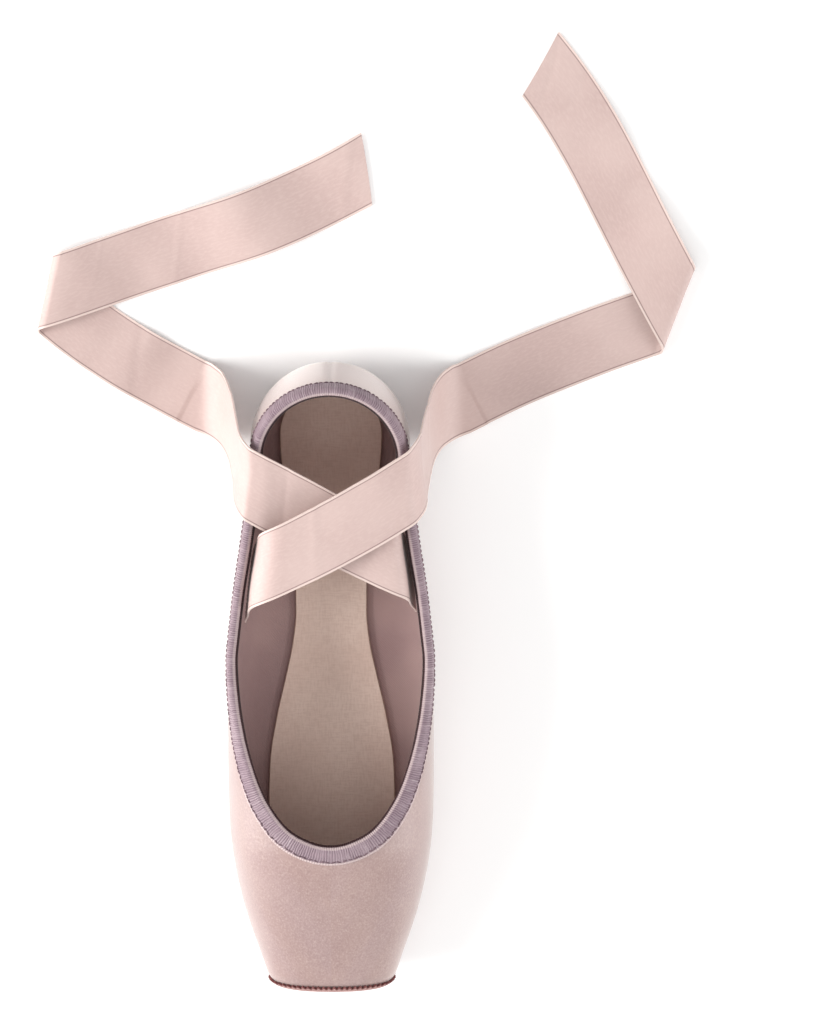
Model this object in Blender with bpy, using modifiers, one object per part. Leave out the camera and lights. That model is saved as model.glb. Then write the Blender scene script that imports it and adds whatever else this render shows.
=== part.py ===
import math

import bmesh
import bpy
import numpy as np

# Pointe shoe, empty, standing on its sole. Metres, toe towards -Y, heel towards +Y, up +Z.
# Inside this file "along" runs from the platform to the back of the heel.

MM = 0.001

# Main sizes of the last
LENGTH = 234 * MM
BALL_WIDTH = 75.5 * MM
HEEL_WIDTH = 58 * MM
PLATFORM_HEIGHT = 26 * MM
VAMP_LENGTH = 60 * MM
THROAT_HEIGHT = 52.4 * MM
TOE_SPRING = 1.8 * MM
ARCH_RISE = 3.4 * MM
PLATFORM_LEAN = math.radians(3)

# Walls and soft goods
GAP = 0.3 * MM
BOX_WALL = 3.0 * MM
QUARTER_WALL = 1.5 * MM
RIM_RADIUS = 4.5 * MM
SOLE_THICKNESS = 2.2 * MM
INSOLE_THICKNESS = 2.0 * MM
BINDING_THICKNESS = 0.6 * MM
BINDING_SLACK = 0.15 * MM
BINDING_OUTER_LEG = 5.6 * MM
BINDING_INNER_LEG = 5.0 * MM
PATCH_THICKNESS = 0.8 * MM
RIBBON_WIDTH = 25 * MM
RIBBON_THICKNESS = 0.5 * MM
RIBBON_LENGTH = 345 * MM

# Places along the shoe
SOLE_TIP = 0.145 * LENGTH
SOLE_END = LENGTH - 10.5 * MM
SOLE_SPARE = 1.2 * MM
INSOLE_TIP = 0.068 * LENGTH
OPENING_FRONT = 0.214 * LENGTH
OPENING_ROUND = 0.068 * LENGTH
TREAD_NOSE = 0.064 * LENGTH
LEFT_ENTRY = 0.641 * LENGTH
RIGHT_ENTRY = 0.658 * LENGTH
EDGE_ROUND = 0.4 * MM
HEEL_CENTRE = LENGTH - HEEL_WIDTH / 2
TIP_Y = -(LENGTH - GAP - PATCH_THICKNESS) / 2

# The last, station by station. along: share of LENGTH. half: half-width as a share of half
# BALL_WIDTH. spring, arch: rise of the underside as shares of TOE_SPRING and ARCH_RISE.
# widest: height of the widest point as a share of THROAT_HEIGHT. flat: half-width of the
# flat underside as a share of half BALL_WIDTH. low, top: roundness of the two parts.
LAST_COLUMNS = ("along", "half", "spring", "arch", "widest", "flat", "low", "top")
LAST = [
    (0.000, 0.596, 1.00, 0.00, 0.340, 0.20, 2.2, 2.35),
    (0.026, 0.650, 0.86, 0.00, 0.350, 0.24, 2.2, 2.35),
    (0.057, 0.711, 0.70, 0.00, 0.360, 0.30, 2.2, 2.35),
    (0.090, 0.780, 0.52, 0.00, 0.372, 0.36, 2.2, 2.35),
    (0.122, 0.840, 0.34, 0.00, 0.385, 0.42, 2.2, 2.32),
    (0.155, 0.890, 0.18, 0.00, 0.398, 0.50, 2.2, 2.30),
    (0.187, 0.930, 0.08, 0.00, 0.410, 0.58, 2.2, 2.30),
    (0.220, 0.962, 0.02, 0.00, 0.418, 0.62, 2.2, 2.30),
    (0.252, 0.984, 0.00, 0.00, 0.424, 0.645, 2.2, 2.30),
    (0.285, 0.995, 0.00, 0.00, 0.430, 0.655, 2.2, 2.30),
    (0.350, 1.000, 0.00, 0.00, 0.440, 0.64, 2.2, 2.30),
    (0.415, 0.999, 0.00, 0.02, 0.455, 0.58, 2.2, 2.30),
    (0.496, 0.996, 0.00, 0.45, 0.480, 0.47, 2.2, 2.30),
    (0.545, 0.987, 0.00, 0.82, 0.495, 0.41, 2.2, 2.30),
    (0.594, 0.956, 0.00, 1.00, 0.505, 0.38, 2.2, 2.30),
    (0.658, 0.908, 0.00, 0.80, 0.505, 0.385, 2.2, 2.30),
    (0.726, 0.852, 0.00, 0.30, 0.480, 0.43, 2.2, 2.30),
    (0.790, 0.806, 0.00, 0.00, 0.450, 0.49, 2.2, 2.30),
    (0.876, 0.768, 0.00, 0.00, 0.420, 0.53, 2.2, 2.30),
    (1.000, 0.768, 0.00, 0.00, 0.400, 0.53, 2.2, 2.30),
]

# Line of the crown ahead of the throat. along: share of VAMP_LENGTH. up: share of the rise
# from the top of the platform to the throat.
CROWN_COLUMNS = ("along", "up")
CROWN = [
    (0.00, 0.000),
    (0.18, 0.178),
    (0.35, 0.368),
    (0.53, 0.575),
    (0.70, 0.770),
    (0.82, 0.894),
    (0.92, 0.969),
    (1.00, 1.000),
]

# The collar line. along: share of the way from the throat to the back of the heel.
# out: share of the half-width of that station. up: share of THROAT_HEIGHT.
COLLAR_COLUMNS = ("along", "out", "up")
COLLAR = [
    (0.0000, 0.000, 1.000),
    (0.0090, 0.217, 0.993),
    (0.0316, 0.417, 0.972),
    (0.0678, 0.574, 0.942),
    (0.1130, 0.700, 0.911),
    (0.1638, 0.793, 0.882),
    (0.2316, 0.883, 0.848),
    (0.3107, 0.947, 0.813),
    (0.4124, 0.985, 0.771),
    (0.5198, 0.985, 0.744),
    (0.6384, 0.965, 0.752),
    (0.7514, 0.945, 0.805),
    (0.8362, 0.925, 0.880),
    (0.9209, 0.905, 0.985),
    (1.0000, 0.900, 1.065),
]

# The way of a ribbon across the shoe, seen from the front and drawn for the one that lies
# on top. out: share of the half-width of the collar. up: share of the collar height.
DRAPE_COLUMNS = ("out", "up")
DRAPE_OVER = [
    (-0.878, 0.52),
    (-0.876, 0.70),
    (-0.855, 0.88),
    (-0.840, 1.06),
    (-0.760, 1.190),
    (-0.550, 1.250),
    (0.000, 1.240),
    (0.550, 1.200),
    (0.850, 1.150),
    (1.030, 1.105),
    (1.165, 0.930),
    (1.215, 0.650),
    (1.270, 0.380),
    (1.390, 0.120),
    (1.560, 0.024),
    (1.800, 0.020),
]
DRAPE_UNDER = [
    (-0.892, 0.52),
    (-0.885, 0.70),
    (-0.855, 0.86),
    (-0.840, 1.01),
    (-0.760, 1.090),
    (-0.550, 1.105),
    (0.000, 1.065),
    (0.550, 1.070),
    (0.850, 1.095),
    (1.030, 1.090),
    (1.165, 0.930),
    (1.215, 0.650),
    (1.270, 0.380),
    (1.390, 0.120),
    (1.560, 0.024),
    (1.800, 0.020),
]

# How a ribbon goes on along the floor. share: of the length left after the drape.
# turn: heading in degrees, 0 straight out from the shoe and 90 towards the heel.
# Where a share stands twice, the ribbon is folded over from one heading to the next.
TRAIL_COLUMNS = ("share", "turn")
TRAIL_OVER = [
    (0.00, 27.0),
    (0.18, 22.0),
    (0.40, 19.0),
    (0.40, 119.0),
    (0.70, 117.0),
    (1.00, 130.0),
]
TRAIL_UNDER = [
    (0.00, 27.0),
    (0.15, 32.0),
    (0.31, 42.0),
    (0.31, 163.0),
    (0.68, 161.0),
    (1.00, 148.0),
]
FOLD_RADIUS = 2.8 * MM
CUT_SLANT = 0.45

# Where the sections stand: shares of the closed toe, and shares of the collar edge
FRONT_STEPS = (0.14, 0.29, 0.44, 0.59, 0.74, 0.88, 1.0)
EDGE_STEPS = (
    0, 0.015, 0.03, 0.046, 0.063, 0.083, 0.106, 0.132, 0.162, 0.2, 0.245, 0.3, 0.355, 0.41,
    0.465, 0.52, 0.575, 0.63, 0.685, 0.735, 0.78, 0.82, 0.855, 0.885, 0.91, 0.935, 0.957,
    0.979, 1,
)
PLATE_STEPS = (
    0.145, 0.188, 0.231, 0.274, 0.325, 0.376, 0.427, 0.479, 0.530, 0.581, 0.632, 0.684, 0.735,
    0.786, 0.838,
)


def curve(xs, ys, at):
    """Reads a smooth line through points without overshoot."""
    xs = np.asarray(xs, float)
    ys = np.asarray(ys, float)
    at = np.clip(np.asarray(at, float), xs[0], xs[-1])
    h = np.diff(xs)
    d = np.diff(ys) / h
    slope = np.zeros(len(xs))
    for i in range(1, len(xs) - 1):
        if d[i - 1] * d[i] > 0:
            w1 = 2 * h[i] + h[i - 1]
            w2 = h[i] + 2 * h[i - 1]
            slope[i] = (w1 + w2) / (w1 / d[i - 1] + w2 / d[i])
    slope[0] = d[0]
    slope[-1] = d[-1]
    k = np.clip(np.searchsorted(xs, at, side="right") - 1, 0, len(xs) - 2)
    t = (at - xs[k]) / h[k]
    a = ys[k] * (1 + 2 * t) * (1 - t) ** 2
    b = slope[k] * h[k] * t * (1 - t) ** 2
    c = ys[k + 1] * t * t * (3 - 2 * t)
    e = slope[k + 1] * h[k] * t * t * (t - 1)
    return a + b + c + e


def column(table, names, name):
    return [row[names.index(name)] for row in table]


def last(name, along):
    xs = column(LAST, LAST_COLUMNS, "along")
    return curve(xs, column(LAST, LAST_COLUMNS, name), np.asarray(along) / LENGTH)


def half_width(along):
    """Half-width of the outline, round behind the centre of the heel."""
    table = last("half", along) * BALL_WIDTH / 2
    back = np.clip((np.asarray(along) - HEEL_CENTRE) / (LENGTH - HEEL_CENTRE), 0, 1)
    return np.where(back > 0, HEEL_WIDTH / 2 * np.sqrt(1 - back**2), table)


def underside(along):
    rise = last("spring", along) * TOE_SPRING + last("arch", along) * ARCH_RISE
    return SOLE_THICKNESS + GAP + rise


def widest(along):
    return last("widest", along) * THROAT_HEIGHT


def flat(along):
    """Half-width of the flat underside as a share of the half-width."""
    side = last("flat", along) * BALL_WIDTH / 2
    return side / np.maximum(half_width(np.minimum(along, HEEL_CENTRE)), MM)


def from_throat(along):
    """Square root of the way behind the throat, in which the collar is smooth."""
    share = (np.asarray(along, float) - VAMP_LENGTH) / (LENGTH - VAMP_LENGTH)
    return np.sqrt(np.clip(share, 0, 1))


def collar(name, along):
    xs = np.sqrt(column(COLLAR, COLLAR_COLUMNS, "along"))
    ys = np.array(column(COLLAR, COLLAR_COLUMNS, name))
    odd = -1 if name == "out" else 1
    xs = np.concatenate([-xs[:0:-1], xs])
    ys = np.concatenate([odd * ys[:0:-1], ys])
    return curve(xs, ys, from_throat(along))


def crown(along):
    """Height of the top of the section, imagined closed where the shoe is open."""
    along = np.asarray(along, float)
    share = np.clip(along / VAMP_LENGTH, 0, 1)
    rise = curve(column(CROWN, CROWN_COLUMNS, "along"), column(CROWN, CROWN_COLUMNS, "up"), share)
    base = underside(0.0) + PLATFORM_HEIGHT
    front = base + rise * (THROAT_HEIGHT - base)
    n = last("top", along)
    out = np.clip(collar("out", along), 0, 0.999)
    part = (1 - out**n) ** (1 / n)
    low = widest(along)
    behind = low + (collar("up", along) * THROAT_HEIGHT - low) / part
    return np.where(along > VAMP_LENGTH, behind, front)


def collar_angle(along):
    out = np.clip(collar("out", along), 0, 1)
    angle = np.arccos(out ** (last("top", along) / 2))
    return np.where(np.asarray(along) > VAMP_LENGTH, angle, math.pi / 2)


def centre(along):
    return np.minimum(along, HEEL_CENTRE)


def spot(along, share, height):
    """A point of the section at one station, fanned round the heel."""
    back = np.clip((along - HEEL_CENTRE) / (LENGTH - HEEL_CENTRE), 0, 1)
    x = half_width(along) * share
    y = centre(along) + share * back * (LENGTH - HEEL_CENTRE)
    return np.stack(np.broadcast_arrays(x, y, height), axis=-1)


def skin(along, angle):
    """A point of the outside: angle -90 at the flat underside, 0 widest, 90 crown."""
    along = np.asarray(along, float)
    angle = np.asarray(angle, float)
    low = last("low", along)
    top = last("top", along)
    f = flat(along)
    c = np.abs(np.cos(angle))
    c = np.where(c < 1e-9, 0, c)
    s = np.abs(np.sin(angle))
    under = angle < 0
    share = np.where(under, f + (1 - f) * c ** (2 / low), c ** (2 / top))
    z_low = widest(along) - (widest(along) - underside(along)) * s ** (2 / low)
    z_top = widest(along) + (crown(along) - widest(along)) * s ** (2 / top)
    return spot(along, share, np.where(under, z_low, z_top))


def level(points):
    """Zero on the outside of the shoe, above zero outside it."""
    x = np.abs(points[..., 0])
    y = points[..., 1]
    z = points[..., 2]
    dy = y - HEEL_CENTRE
    turn = np.arctan2(np.maximum(dy, 0), np.maximum(x, 1e-9))
    behind = dy > 0
    along = np.where(behind, HEEL_CENTRE + (LENGTH - HEEL_CENTRE) * np.sin(turn), y)
    reach = np.hypot(x, np.maximum(dy, 0))
    share = np.where(behind, reach / (HEEL_WIDTH / 2), x / np.maximum(half_width(along), MM))
    w = widest(along)
    f = flat(along)
    high = z >= w
    n = np.where(high, last("top", along), last("low", along))
    rise = np.where(high, (z - w) / (crown(along) - w), (w - z) / (w - underside(along)))
    part = np.where(high, share, np.maximum(share - f, 0) / (1 - f))
    return part**n + np.abs(rise) ** n - 1


def slope(points):
    """Gradient of level()."""
    h = 0.02 * MM
    grad = np.empty(points.shape)
    for k in range(3):
        step = np.zeros(3)
        step[k] = h
        grad[..., k] = (level(points + step) - level(points - step)) / (2 * h)
    return grad


def onto_skin(points):
    p = np.array(points, float)
    for _ in range(6):
        g = slope(p)
        p = p - (level(p) / np.sum(g * g, axis=-1))[..., None] * g
    return p


def outward(points):
    g = slope(points)
    return g / np.linalg.norm(g, axis=-1, keepdims=True)


def collar_steps(line):
    """Places in the collar line, closest where it is most curved."""
    step = np.linalg.norm(np.diff(line, axis=0), axis=1)
    run = np.concatenate([[0], np.cumsum(step)])
    return np.interp(np.array(EDGE_STEPS) * run[-1], run, np.arange(len(line)))


def collar_line():
    """The collar edge from throat to heel as a dense line, with its stations."""
    t = np.linspace(0, 1, 2001)
    along = VAMP_LENGTH + (LENGTH - VAMP_LENGTH) * t**2
    turn = np.linspace(0, math.pi / 2, 801)[1:]
    along = along[along < HEEL_CENTRE]
    along = np.concatenate([along, HEEL_CENTRE + (LENGTH - HEEL_CENTRE) * np.sin(turn)])
    return along, skin(along, collar_angle(along))


def beside_collar(rows):
    """Points at given distances below and off the collar edge, one list per station."""
    _, line = collar_line()
    at = collar_steps(line)
    edge = np.stack([np.interp(at, np.arange(len(line)), line[:, k]) for k in range(3)], -1)
    ahead = np.stack([np.interp(at + 4, np.arange(len(line)), line[:, k]) for k in range(3)], -1)
    behind = np.stack([np.interp(at - 4, np.arange(len(line)), line[:, k]) for k in range(3)], -1)
    run = ahead - behind
    run[0] = (1, 0, 0)
    run[-1] = (-1, 0, 0)
    run /= np.linalg.norm(run, axis=1, keepdims=True)
    edge = onto_skin(edge)
    edge[0, 0] = 0
    edge[-1, 0] = 0
    out = outward(edge)
    down = np.cross(run, out)
    down /= np.linalg.norm(down, axis=1, keepdims=True)
    grid = []
    for below, off in rows:
        foot = edge + down * max(below, 0)
        if below > 0:
            foot = onto_skin(foot)
            normal = outward(foot)
            point = foot + normal * off
        else:
            point = edge + down * below + out * off
        point[0, 0] = 0
        point[-1, 0] = 0
        grid.append(point)
    return np.stack(grid, 1)


def place(points):
    """Shoe sizes to the frame, with the lean of the platform."""
    p = np.array(points, float)
    fade = np.clip(1 - p[..., 1] / (0.13 * LENGTH), 0, 1) ** 2
    middle = underside(0.0) + PLATFORM_HEIGHT / 2
    p[..., 1] += TIP_Y - math.tan(PLATFORM_LEAN) * (p[..., 2] - middle) * fade
    return p


def material(name, colour, rough):
    mat = bpy.data.materials.new(name)
    mat.use_nodes = True
    shader = mat.node_tree.nodes["Principled BSDF"]
    shader.inputs["Base Color"].default_value = (*colour, 1)
    shader.inputs["Roughness"].default_value = rough
    return mat


def add(name, points, faces, mat, smooth=40):
    mesh = bpy.data.meshes.new(name)
    mesh.from_pydata([tuple(map(float, p)) for p in points], [], faces)
    mesh.materials.append(mat)
    obj = bpy.data.objects.new(name, mesh)
    home.objects.link(obj)
    work = bmesh.new()
    work.from_mesh(mesh)
    bmesh.ops.remove_doubles(work, verts=work.verts, dist=0.00001)
    bmesh.ops.recalc_face_normals(work, faces=work.faces)
    work.to_mesh(mesh)
    work.free()
    mesh.shade_smooth()
    mesh.set_sharp_from_angle(angle=math.radians(smooth))
    return obj


def quads(rows, columns, start=0, turn=False):
    faces = []
    for i in range(rows - 1):
        for j in range(columns - 1):
            a = start + i * columns + j
            face = (a, a + 1, a + columns + 1, a + columns)
            faces.append(face[::-1] if turn else face)
    return faces


def mirrored(obj):
    mod = obj.modifiers.new("Mirror", "MIRROR")
    mod.use_axis = (True, False, False)
    mod.merge_threshold = 0.00005


def shell(obj, inner, outer, group=None):
    """Gives an open surface its wall, between two distances off the surface."""
    mod = obj.modifiers.new("Wall", "SOLIDIFY")
    mod.thickness = outer - inner
    mod.offset = (outer + inner) / (outer - inner)
    mod.use_even_offset = True
    mod.use_quality_normals = True
    if group:
        mod.vertex_group = group


def wall(along):
    """Thickness of the upper: stiff box, soft quarters."""
    t = np.clip((np.asarray(along, float) / LENGTH - 0.12) / 0.12, 0, 1)
    return BOX_WALL + (QUARTER_WALL - BOX_WALL) * t * t * (3 - 2 * t)


def rim(count):
    """Stations of the rounded rim: place along, and how far each is drawn in."""
    turn = np.linspace(math.pi / 2, 0, count)
    return RIM_RADIUS * (1 - np.cos(math.pi / 2 - turn)), RIM_RADIUS * (1 - np.cos(turn))


def opening(along):
    """Half-width of the gap under the foot, as a share of the half-width."""
    side = np.clip((along - OPENING_FRONT) / OPENING_ROUND, 0, 1)
    bow = np.sqrt(1 - (1 - side) ** 2)
    return flat(along) * 0.52 * bow


def front_section(along, inset, angles):
    """One section of the closed toe, drawn in all round for the rim."""
    points = skin(np.full(len(angles), along), angles)
    middle = (underside(along) + crown(along)) / 2
    half = half_width(along)
    tall = (crown(along) - underside(along)) / 2
    if inset > 0:
        points[:, 0] *= 1 - inset / half
    points[:, 2] = middle + (points[:, 2] - middle) * (1 - inset / tall)
    return points


def upper_rows(stations, low_rows, top_rows):
    grid = []
    for along, inset in stations:
        top = float(collar_angle(along))
        low = np.linspace(-math.pi / 2, 0, low_rows)
        high = np.linspace(0, top, top_rows)[1:]
        angles = np.concatenate([low, high])
        points = front_section(along, inset, angles)
        edge = points[0]
        f = float(flat(along))
        start = float(opening(along)) / f
        sole = []
        for share in (start, (1 + start) / 2):
            sole.append(spot(along, f * share, edge[2]))
        if inset > 0:
            for p in sole:
                p[0] *= 1 - inset / half_width(along)
        row = np.vstack([sole, points])
        if along <= OPENING_FRONT:
            row[0, 0] = 0
        if along <= VAMP_LENGTH:
            row[-1, 0] = 0
        if along >= LENGTH - 1e-9:
            row[:, 0] = 0
        grid.append(row)
    return np.array(grid)


def make_upper():
    places, draws = rim(5)
    stations = list(zip(places[::-1], draws[::-1]))
    stations.sort()
    front = [RIM_RADIUS + share * (OPENING_FRONT - RIM_RADIUS) for share in FRONT_STEPS]
    front += [OPENING_FRONT + share * (VAMP_LENGTH - OPENING_FRONT) for share in (0.12, 0.45)]
    along, line = collar_line()
    open_part = np.interp(collar_steps(line), np.arange(len(along)), along)
    open_part[0] = VAMP_LENGTH
    open_part[-1] = LENGTH
    stations += [(a, 0.0) for a in [*front, *open_part]]
    grid = upper_rows(stations, 6, 9)
    rows, columns = grid.shape[:2]
    points = list(place(grid.reshape(-1, 3)))
    faces = quads(rows, columns)
    # flat platform inside the rim
    ring = grid[0]
    middle = np.array([0, 0, (underside(0.0) + crown(0.0)) / 2])
    inner = middle + (ring - middle) * 0.55
    inner[0, 0] = 0
    inner[-1, 0] = 0
    start = len(points)
    points += list(place(inner))
    points.append(place(middle[None])[0])
    hub = len(points) - 1
    for j in range(columns - 1):
        faces.append((j, start + j, start + j + 1, j + 1))
        faces.append((start + j, hub, start + j + 1))
    obj = add("upper", points, faces, satin)
    group = obj.vertex_groups.new(name="wall")
    for v in obj.data.vertices:
        along = v.co.y - TIP_Y
        group.add([v.index], float(wall(along)) / BOX_WALL, "REPLACE")
    mirrored(obj)
    shell(obj, -BOX_WALL, 0, "wall")
    return obj


def sole_outline(along, front, back, spare):
    """Half-width of the sole outline between two rounded ends."""
    middle = np.minimum(along, HEEL_CENTRE)
    side = last("flat", middle) * BALL_WIDTH / 2 - spare
    reach = back - HEEL_CENTRE
    behind = np.clip((along - HEEL_CENTRE) / reach, 0, 1)
    nose = np.clip((along - front) / (0.8 * side), 0, 1)
    return side * np.sqrt(1 - behind**2) * np.sqrt(1 - (1 - nose) ** 2)


def make_plate(name, front, back, spare, lower, upper, mat, straight):
    """A sole-shaped plate between two heights, mirrored from one half."""
    ends = np.array([0.012, 0.05, 0.115, 0.2])
    head = front + TREAD_NOSE * ends
    reach = back - HEEL_CENTRE
    tail = HEEL_CENTRE + reach * np.sin(np.linspace(0, 1, 6) * math.radians(83))
    body = LENGTH * np.array(straight)
    body = body[(body > head[-1] + 0.01 * LENGTH) & (body < tail[0] - 0.017 * LENGTH)]
    along = np.concatenate([head, body, tail])
    half = sole_outline(along, front, back, spare)
    points = []
    for a, h in zip(along, half):
        bottom = float(lower(a))
        top = float(upper(a))
        for share in (0, 0.5, 1):
            points.append((h * share, a, bottom))
        for share in (1, 0.5, 0):
            points.append((h * share, a, top))
    n = 6
    faces = quads(len(along), n)
    for start in (0, (len(along) - 1) * n):
        faces.append((start, start + 1, start + 4, start + 5))
        faces.append((start + 1, start + 2, start + 3, start + 4))
    obj = add(name, place(np.array(points)), faces, mat, 30)
    mirrored(obj)
    return obj


def make_binding():
    t = BINDING_THICKNESS
    w = QUARTER_WALL + BINDING_SLACK
    inside = GAP + BINDING_SLACK
    arch = w / 2 + GAP + t
    c = EDGE_ROUND
    mid = -w / 2
    diagonal = arch * math.sqrt(0.5)
    profile = [
        (BINDING_OUTER_LEG, inside + t),
        (BINDING_OUTER_LEG / 2, inside + t),
        (c, inside + t),
        (c - diagonal, mid + diagonal),
        (c - arch, mid),
        (c - diagonal, mid - diagonal),
        (c, -w - inside - t),
        (BINDING_INNER_LEG, -w - inside - t),
        (BINDING_INNER_LEG, -w - inside),
        (-GAP, -w - inside),
        (-GAP, inside),
        (BINDING_OUTER_LEG / 2, inside),
        (BINDING_OUTER_LEG, inside),
    ]
    grid = beside_collar(profile)
    rows, columns = grid.shape[:2]
    closed = np.concatenate([grid, grid[:, :1]], axis=1)
    obj = add("collar_binding", place(closed.reshape(-1, 3)), quads(rows, columns + 1), binding, 35)
    mirrored(obj)
    return obj


def make_patch():
    """Suede tip over the platform, turned back a little over the rim."""
    places, draws = rim(5)
    stations = sorted(zip(places, draws))[:4]
    grid = upper_rows(stations, 7, 10)
    grid = grid[:, 2:]
    grid = np.concatenate([grid[:, :1] * (0, 1, 1), grid], axis=1)
    rows, columns = grid.shape[:2]
    points = list(place(grid.reshape(-1, 3)))
    faces = quads(rows, columns)
    middle = np.array([[0, 0, (underside(0.0) + crown(0.0)) / 2]])
    points.append(place(middle)[0])
    hub = len(points) - 1
    for j in range(columns - 1):
        faces.append((j, hub, j + 1))
    obj = add("platform_patch", points, faces, suede, 50)
    mirrored(obj)
    shell(obj, GAP, GAP + PATCH_THICKNESS)
    return obj


def collar_plan():
    """Half-width and height of the collar against the true distance along."""
    _, line = collar_line()
    return line[:, 1], line[:, 0], line[:, 2]


def ribbon_grid(side, drape, trail, entry, count, across):
    """Middle line and width of a ribbon: out of the shoe, across it, and along the floor."""
    y, x, z = collar_plan()
    table = np.array(drape)
    nominal = np.array([np.interp(entry + TREAD_NOSE, y, x), np.interp(entry + TREAD_NOSE, y, z)])
    key = table * nominal
    u = np.arange(len(key))
    fine = np.linspace(0, len(key) - 1, 1200)
    path = np.stack([curve(u, key[:, k], fine) for k in range(2)], -1)
    run = np.concatenate([[0], np.cumsum(np.linalg.norm(np.diff(path, axis=0), axis=1))])
    lean = math.radians(trail[0][1])
    drape_length = run[-1] / math.cos(lean) - RIBBON_WIDTH / 2 * math.tan(lean)
    offsets = np.linspace(-0.5, 0.5, across) * RIBBON_WIDTH
    drape_count = int(count * 0.42)
    rows = []
    for l in np.linspace(0, drape_length, drape_count):
        row = []
        for c in offsets:
            p = l * math.cos(lean) - c * math.sin(lean)
            q = entry + l * math.sin(lean) + c * math.cos(lean)
            px = np.interp(p, run, path[:, 0]) if p > 0 else path[0, 0]
            pz = np.interp(p, run, path[:, 1]) if p > 0 else path[0, 1] + p
            here_x = np.interp(min(q, HEEL_CENTRE - 0.021 * LENGTH), y, x)
            here_z = np.interp(q, y, z)
            beyond = np.clip((px / nominal[0] - 1.1) / 0.5, 0, 1)
            scale = here_x / nominal[0]
            scale += (1 - scale) * beyond
            tall = here_z / nominal[1]
            tall += (1 - tall) * beyond
            row.append((side * px * scale, q, pz * tall))
        rows.append(row)
    grid = np.array(rows)
    end = grid[-1].mean(axis=0)
    height = grid[-1].mean(axis=0)[2]
    start = np.array([side * end[0], end[1]])
    on_floor = floor_run(start, height, trail, RIBBON_LENGTH - drape_length, count - drape_count, offsets)
    return np.concatenate([grid, on_floor * (side, 1, 1)])


def ease(low, high, at):
    """Smooth rise from 0 to 1 between two places."""
    share = np.clip((at - low) / (high - low), 0, 1)
    return share * share * (3 - 2 * share)


def floor_run(start, height, trail, length, count, offsets):
    """A ribbon laid on the floor with one fold, unrolled first and then folded over."""
    shares = [row[0] for row in trail]
    turns = [row[1] for row in trail]
    k = next(i for i in range(len(shares) - 1) if shares[i] == shares[i + 1])
    fold = (turns[k] + turns[k + 1]) / 2
    flat_shares = shares[: k + 1] + shares[k + 2 :]
    flat_turns = turns[: k + 1] + [2 * fold - turn for turn in turns[k + 2 :]]
    at_fold = shares[k] * length
    skew = 1 / math.tan(math.radians(fold - turns[k]))

    fine = np.linspace(0, length + RIBBON_WIDTH, 1500)
    heading = np.radians(curve(flat_shares, flat_turns, np.minimum(fine / length, 1)))
    step = fine[1] - fine[0]
    middle_x = start[0] + np.concatenate([[0], np.cumsum(np.cos(heading[:-1]))]) * step
    middle_y = start[1] + np.concatenate([[0], np.cumsum(np.sin(heading[:-1]))]) * step

    reach = 1.2 * RIBBON_WIDTH
    loop = math.pi * FOLD_RADIUS
    near = ease(at_fold - reach, at_fold - 0.1 * reach, fine)
    near = near * (1 - ease(at_fold + loop + 0.1 * reach, at_fold + loop + reach, fine))
    lean = skew * near + CUT_SLANT * ease(length - reach, length, fine)
    tight = np.exp(-(((fine - at_fold - loop / 2) / (0.7 * loop)) ** 2))
    load = np.concatenate([[0], np.cumsum(1 + 5 * tight[:-1])])
    total = np.interp(length - CUT_SLANT * RIBBON_WIDTH / 2, fine, load)
    along = np.interp(np.linspace(0, total, count + 1)[1:], load, fine)

    c = np.broadcast_to(offsets, (count, len(offsets)))
    u = along[:, None] + c * np.interp(along, fine, lean)[:, None]
    turn = np.interp(u, fine, heading)
    x = np.interp(u, fine, middle_x) - c * np.sin(turn)
    y = np.interp(u, fine, middle_y) + c * np.cos(turn)

    pivot = np.array([np.interp(at_fold, fine, middle_x), np.interp(at_fold, fine, middle_y)])
    ahead = np.array([math.sin(math.radians(fold)), -math.cos(math.radians(fold))])
    past = (x - pivot[0]) * ahead[0] + (y - pivot[1]) * ahead[1]
    angle = np.clip(past / FOLD_RADIUS, 0, math.pi)
    beyond = np.maximum(past - loop, 0)
    shift = np.where(past > 0, FOLD_RADIUS * np.sin(angle) - beyond - past, 0)
    x = x + shift * ahead[0]
    y = y + shift * ahead[1]

    first = math.radians(turns[k])
    beside = (pivot[1] - y) * math.cos(first) - (pivot[0] - x) * math.sin(first)
    off = np.abs(beside) - RIBBON_WIDTH / 2
    above = 2.6 * RIBBON_THICKNESS
    under = np.where(past > 0, above * (1 - ease(0, 0.8 * RIBBON_WIDTH, off)), 0)
    spring = np.where(past > 0, 1 - ease(0, 1.3 * RIBBON_WIDTH, beyond), 0)
    bulge = (2 * FOLD_RADIUS - above) * spring
    rise = np.where(past > loop, under + bulge, FOLD_RADIUS * (1 - np.cos(angle)))
    calm = ease(0.9 * reach, 1.9 * reach, np.abs(u - at_fold - loop / 2))
    calm = calm * ease(0, 1.2 * reach, u)
    ripple = (u - at_fold + 0.25 * c) / RIBBON_WIDTH
    wave = np.sin(math.pi * ripple / 2.3) ** 2 * (0.55 + 0.45 * np.sin(1.1 * ripple + turns[k]))
    wave = 0.17 * RIBBON_WIDTH * wave
    base = 0.75 * RIBBON_THICKNESS
    base = base + (height - base) * (1 - ease(0, 0.8 * RIBBON_WIDTH, u))
    return np.stack([x, y, base + rise + wave * calm], -1)


def make_ribbon(name, side, drape, trail, entry):
    grid = ribbon_grid(side, drape, trail, entry, 84, 5)
    rows, columns = grid.shape[:2]
    obj = add(name, place(grid.reshape(-1, 3)), quads(rows, columns), ribbon, 60)
    shell(obj, -RIBBON_THICKNESS / 2, RIBBON_THICKNESS / 2)
    return obj


for old in list(bpy.data.objects):
    bpy.data.objects.remove(old, do_unlink=True)

home = bpy.data.collections.new("pointe_shoe")
bpy.context.scene.collection.children.link(home)

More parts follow.
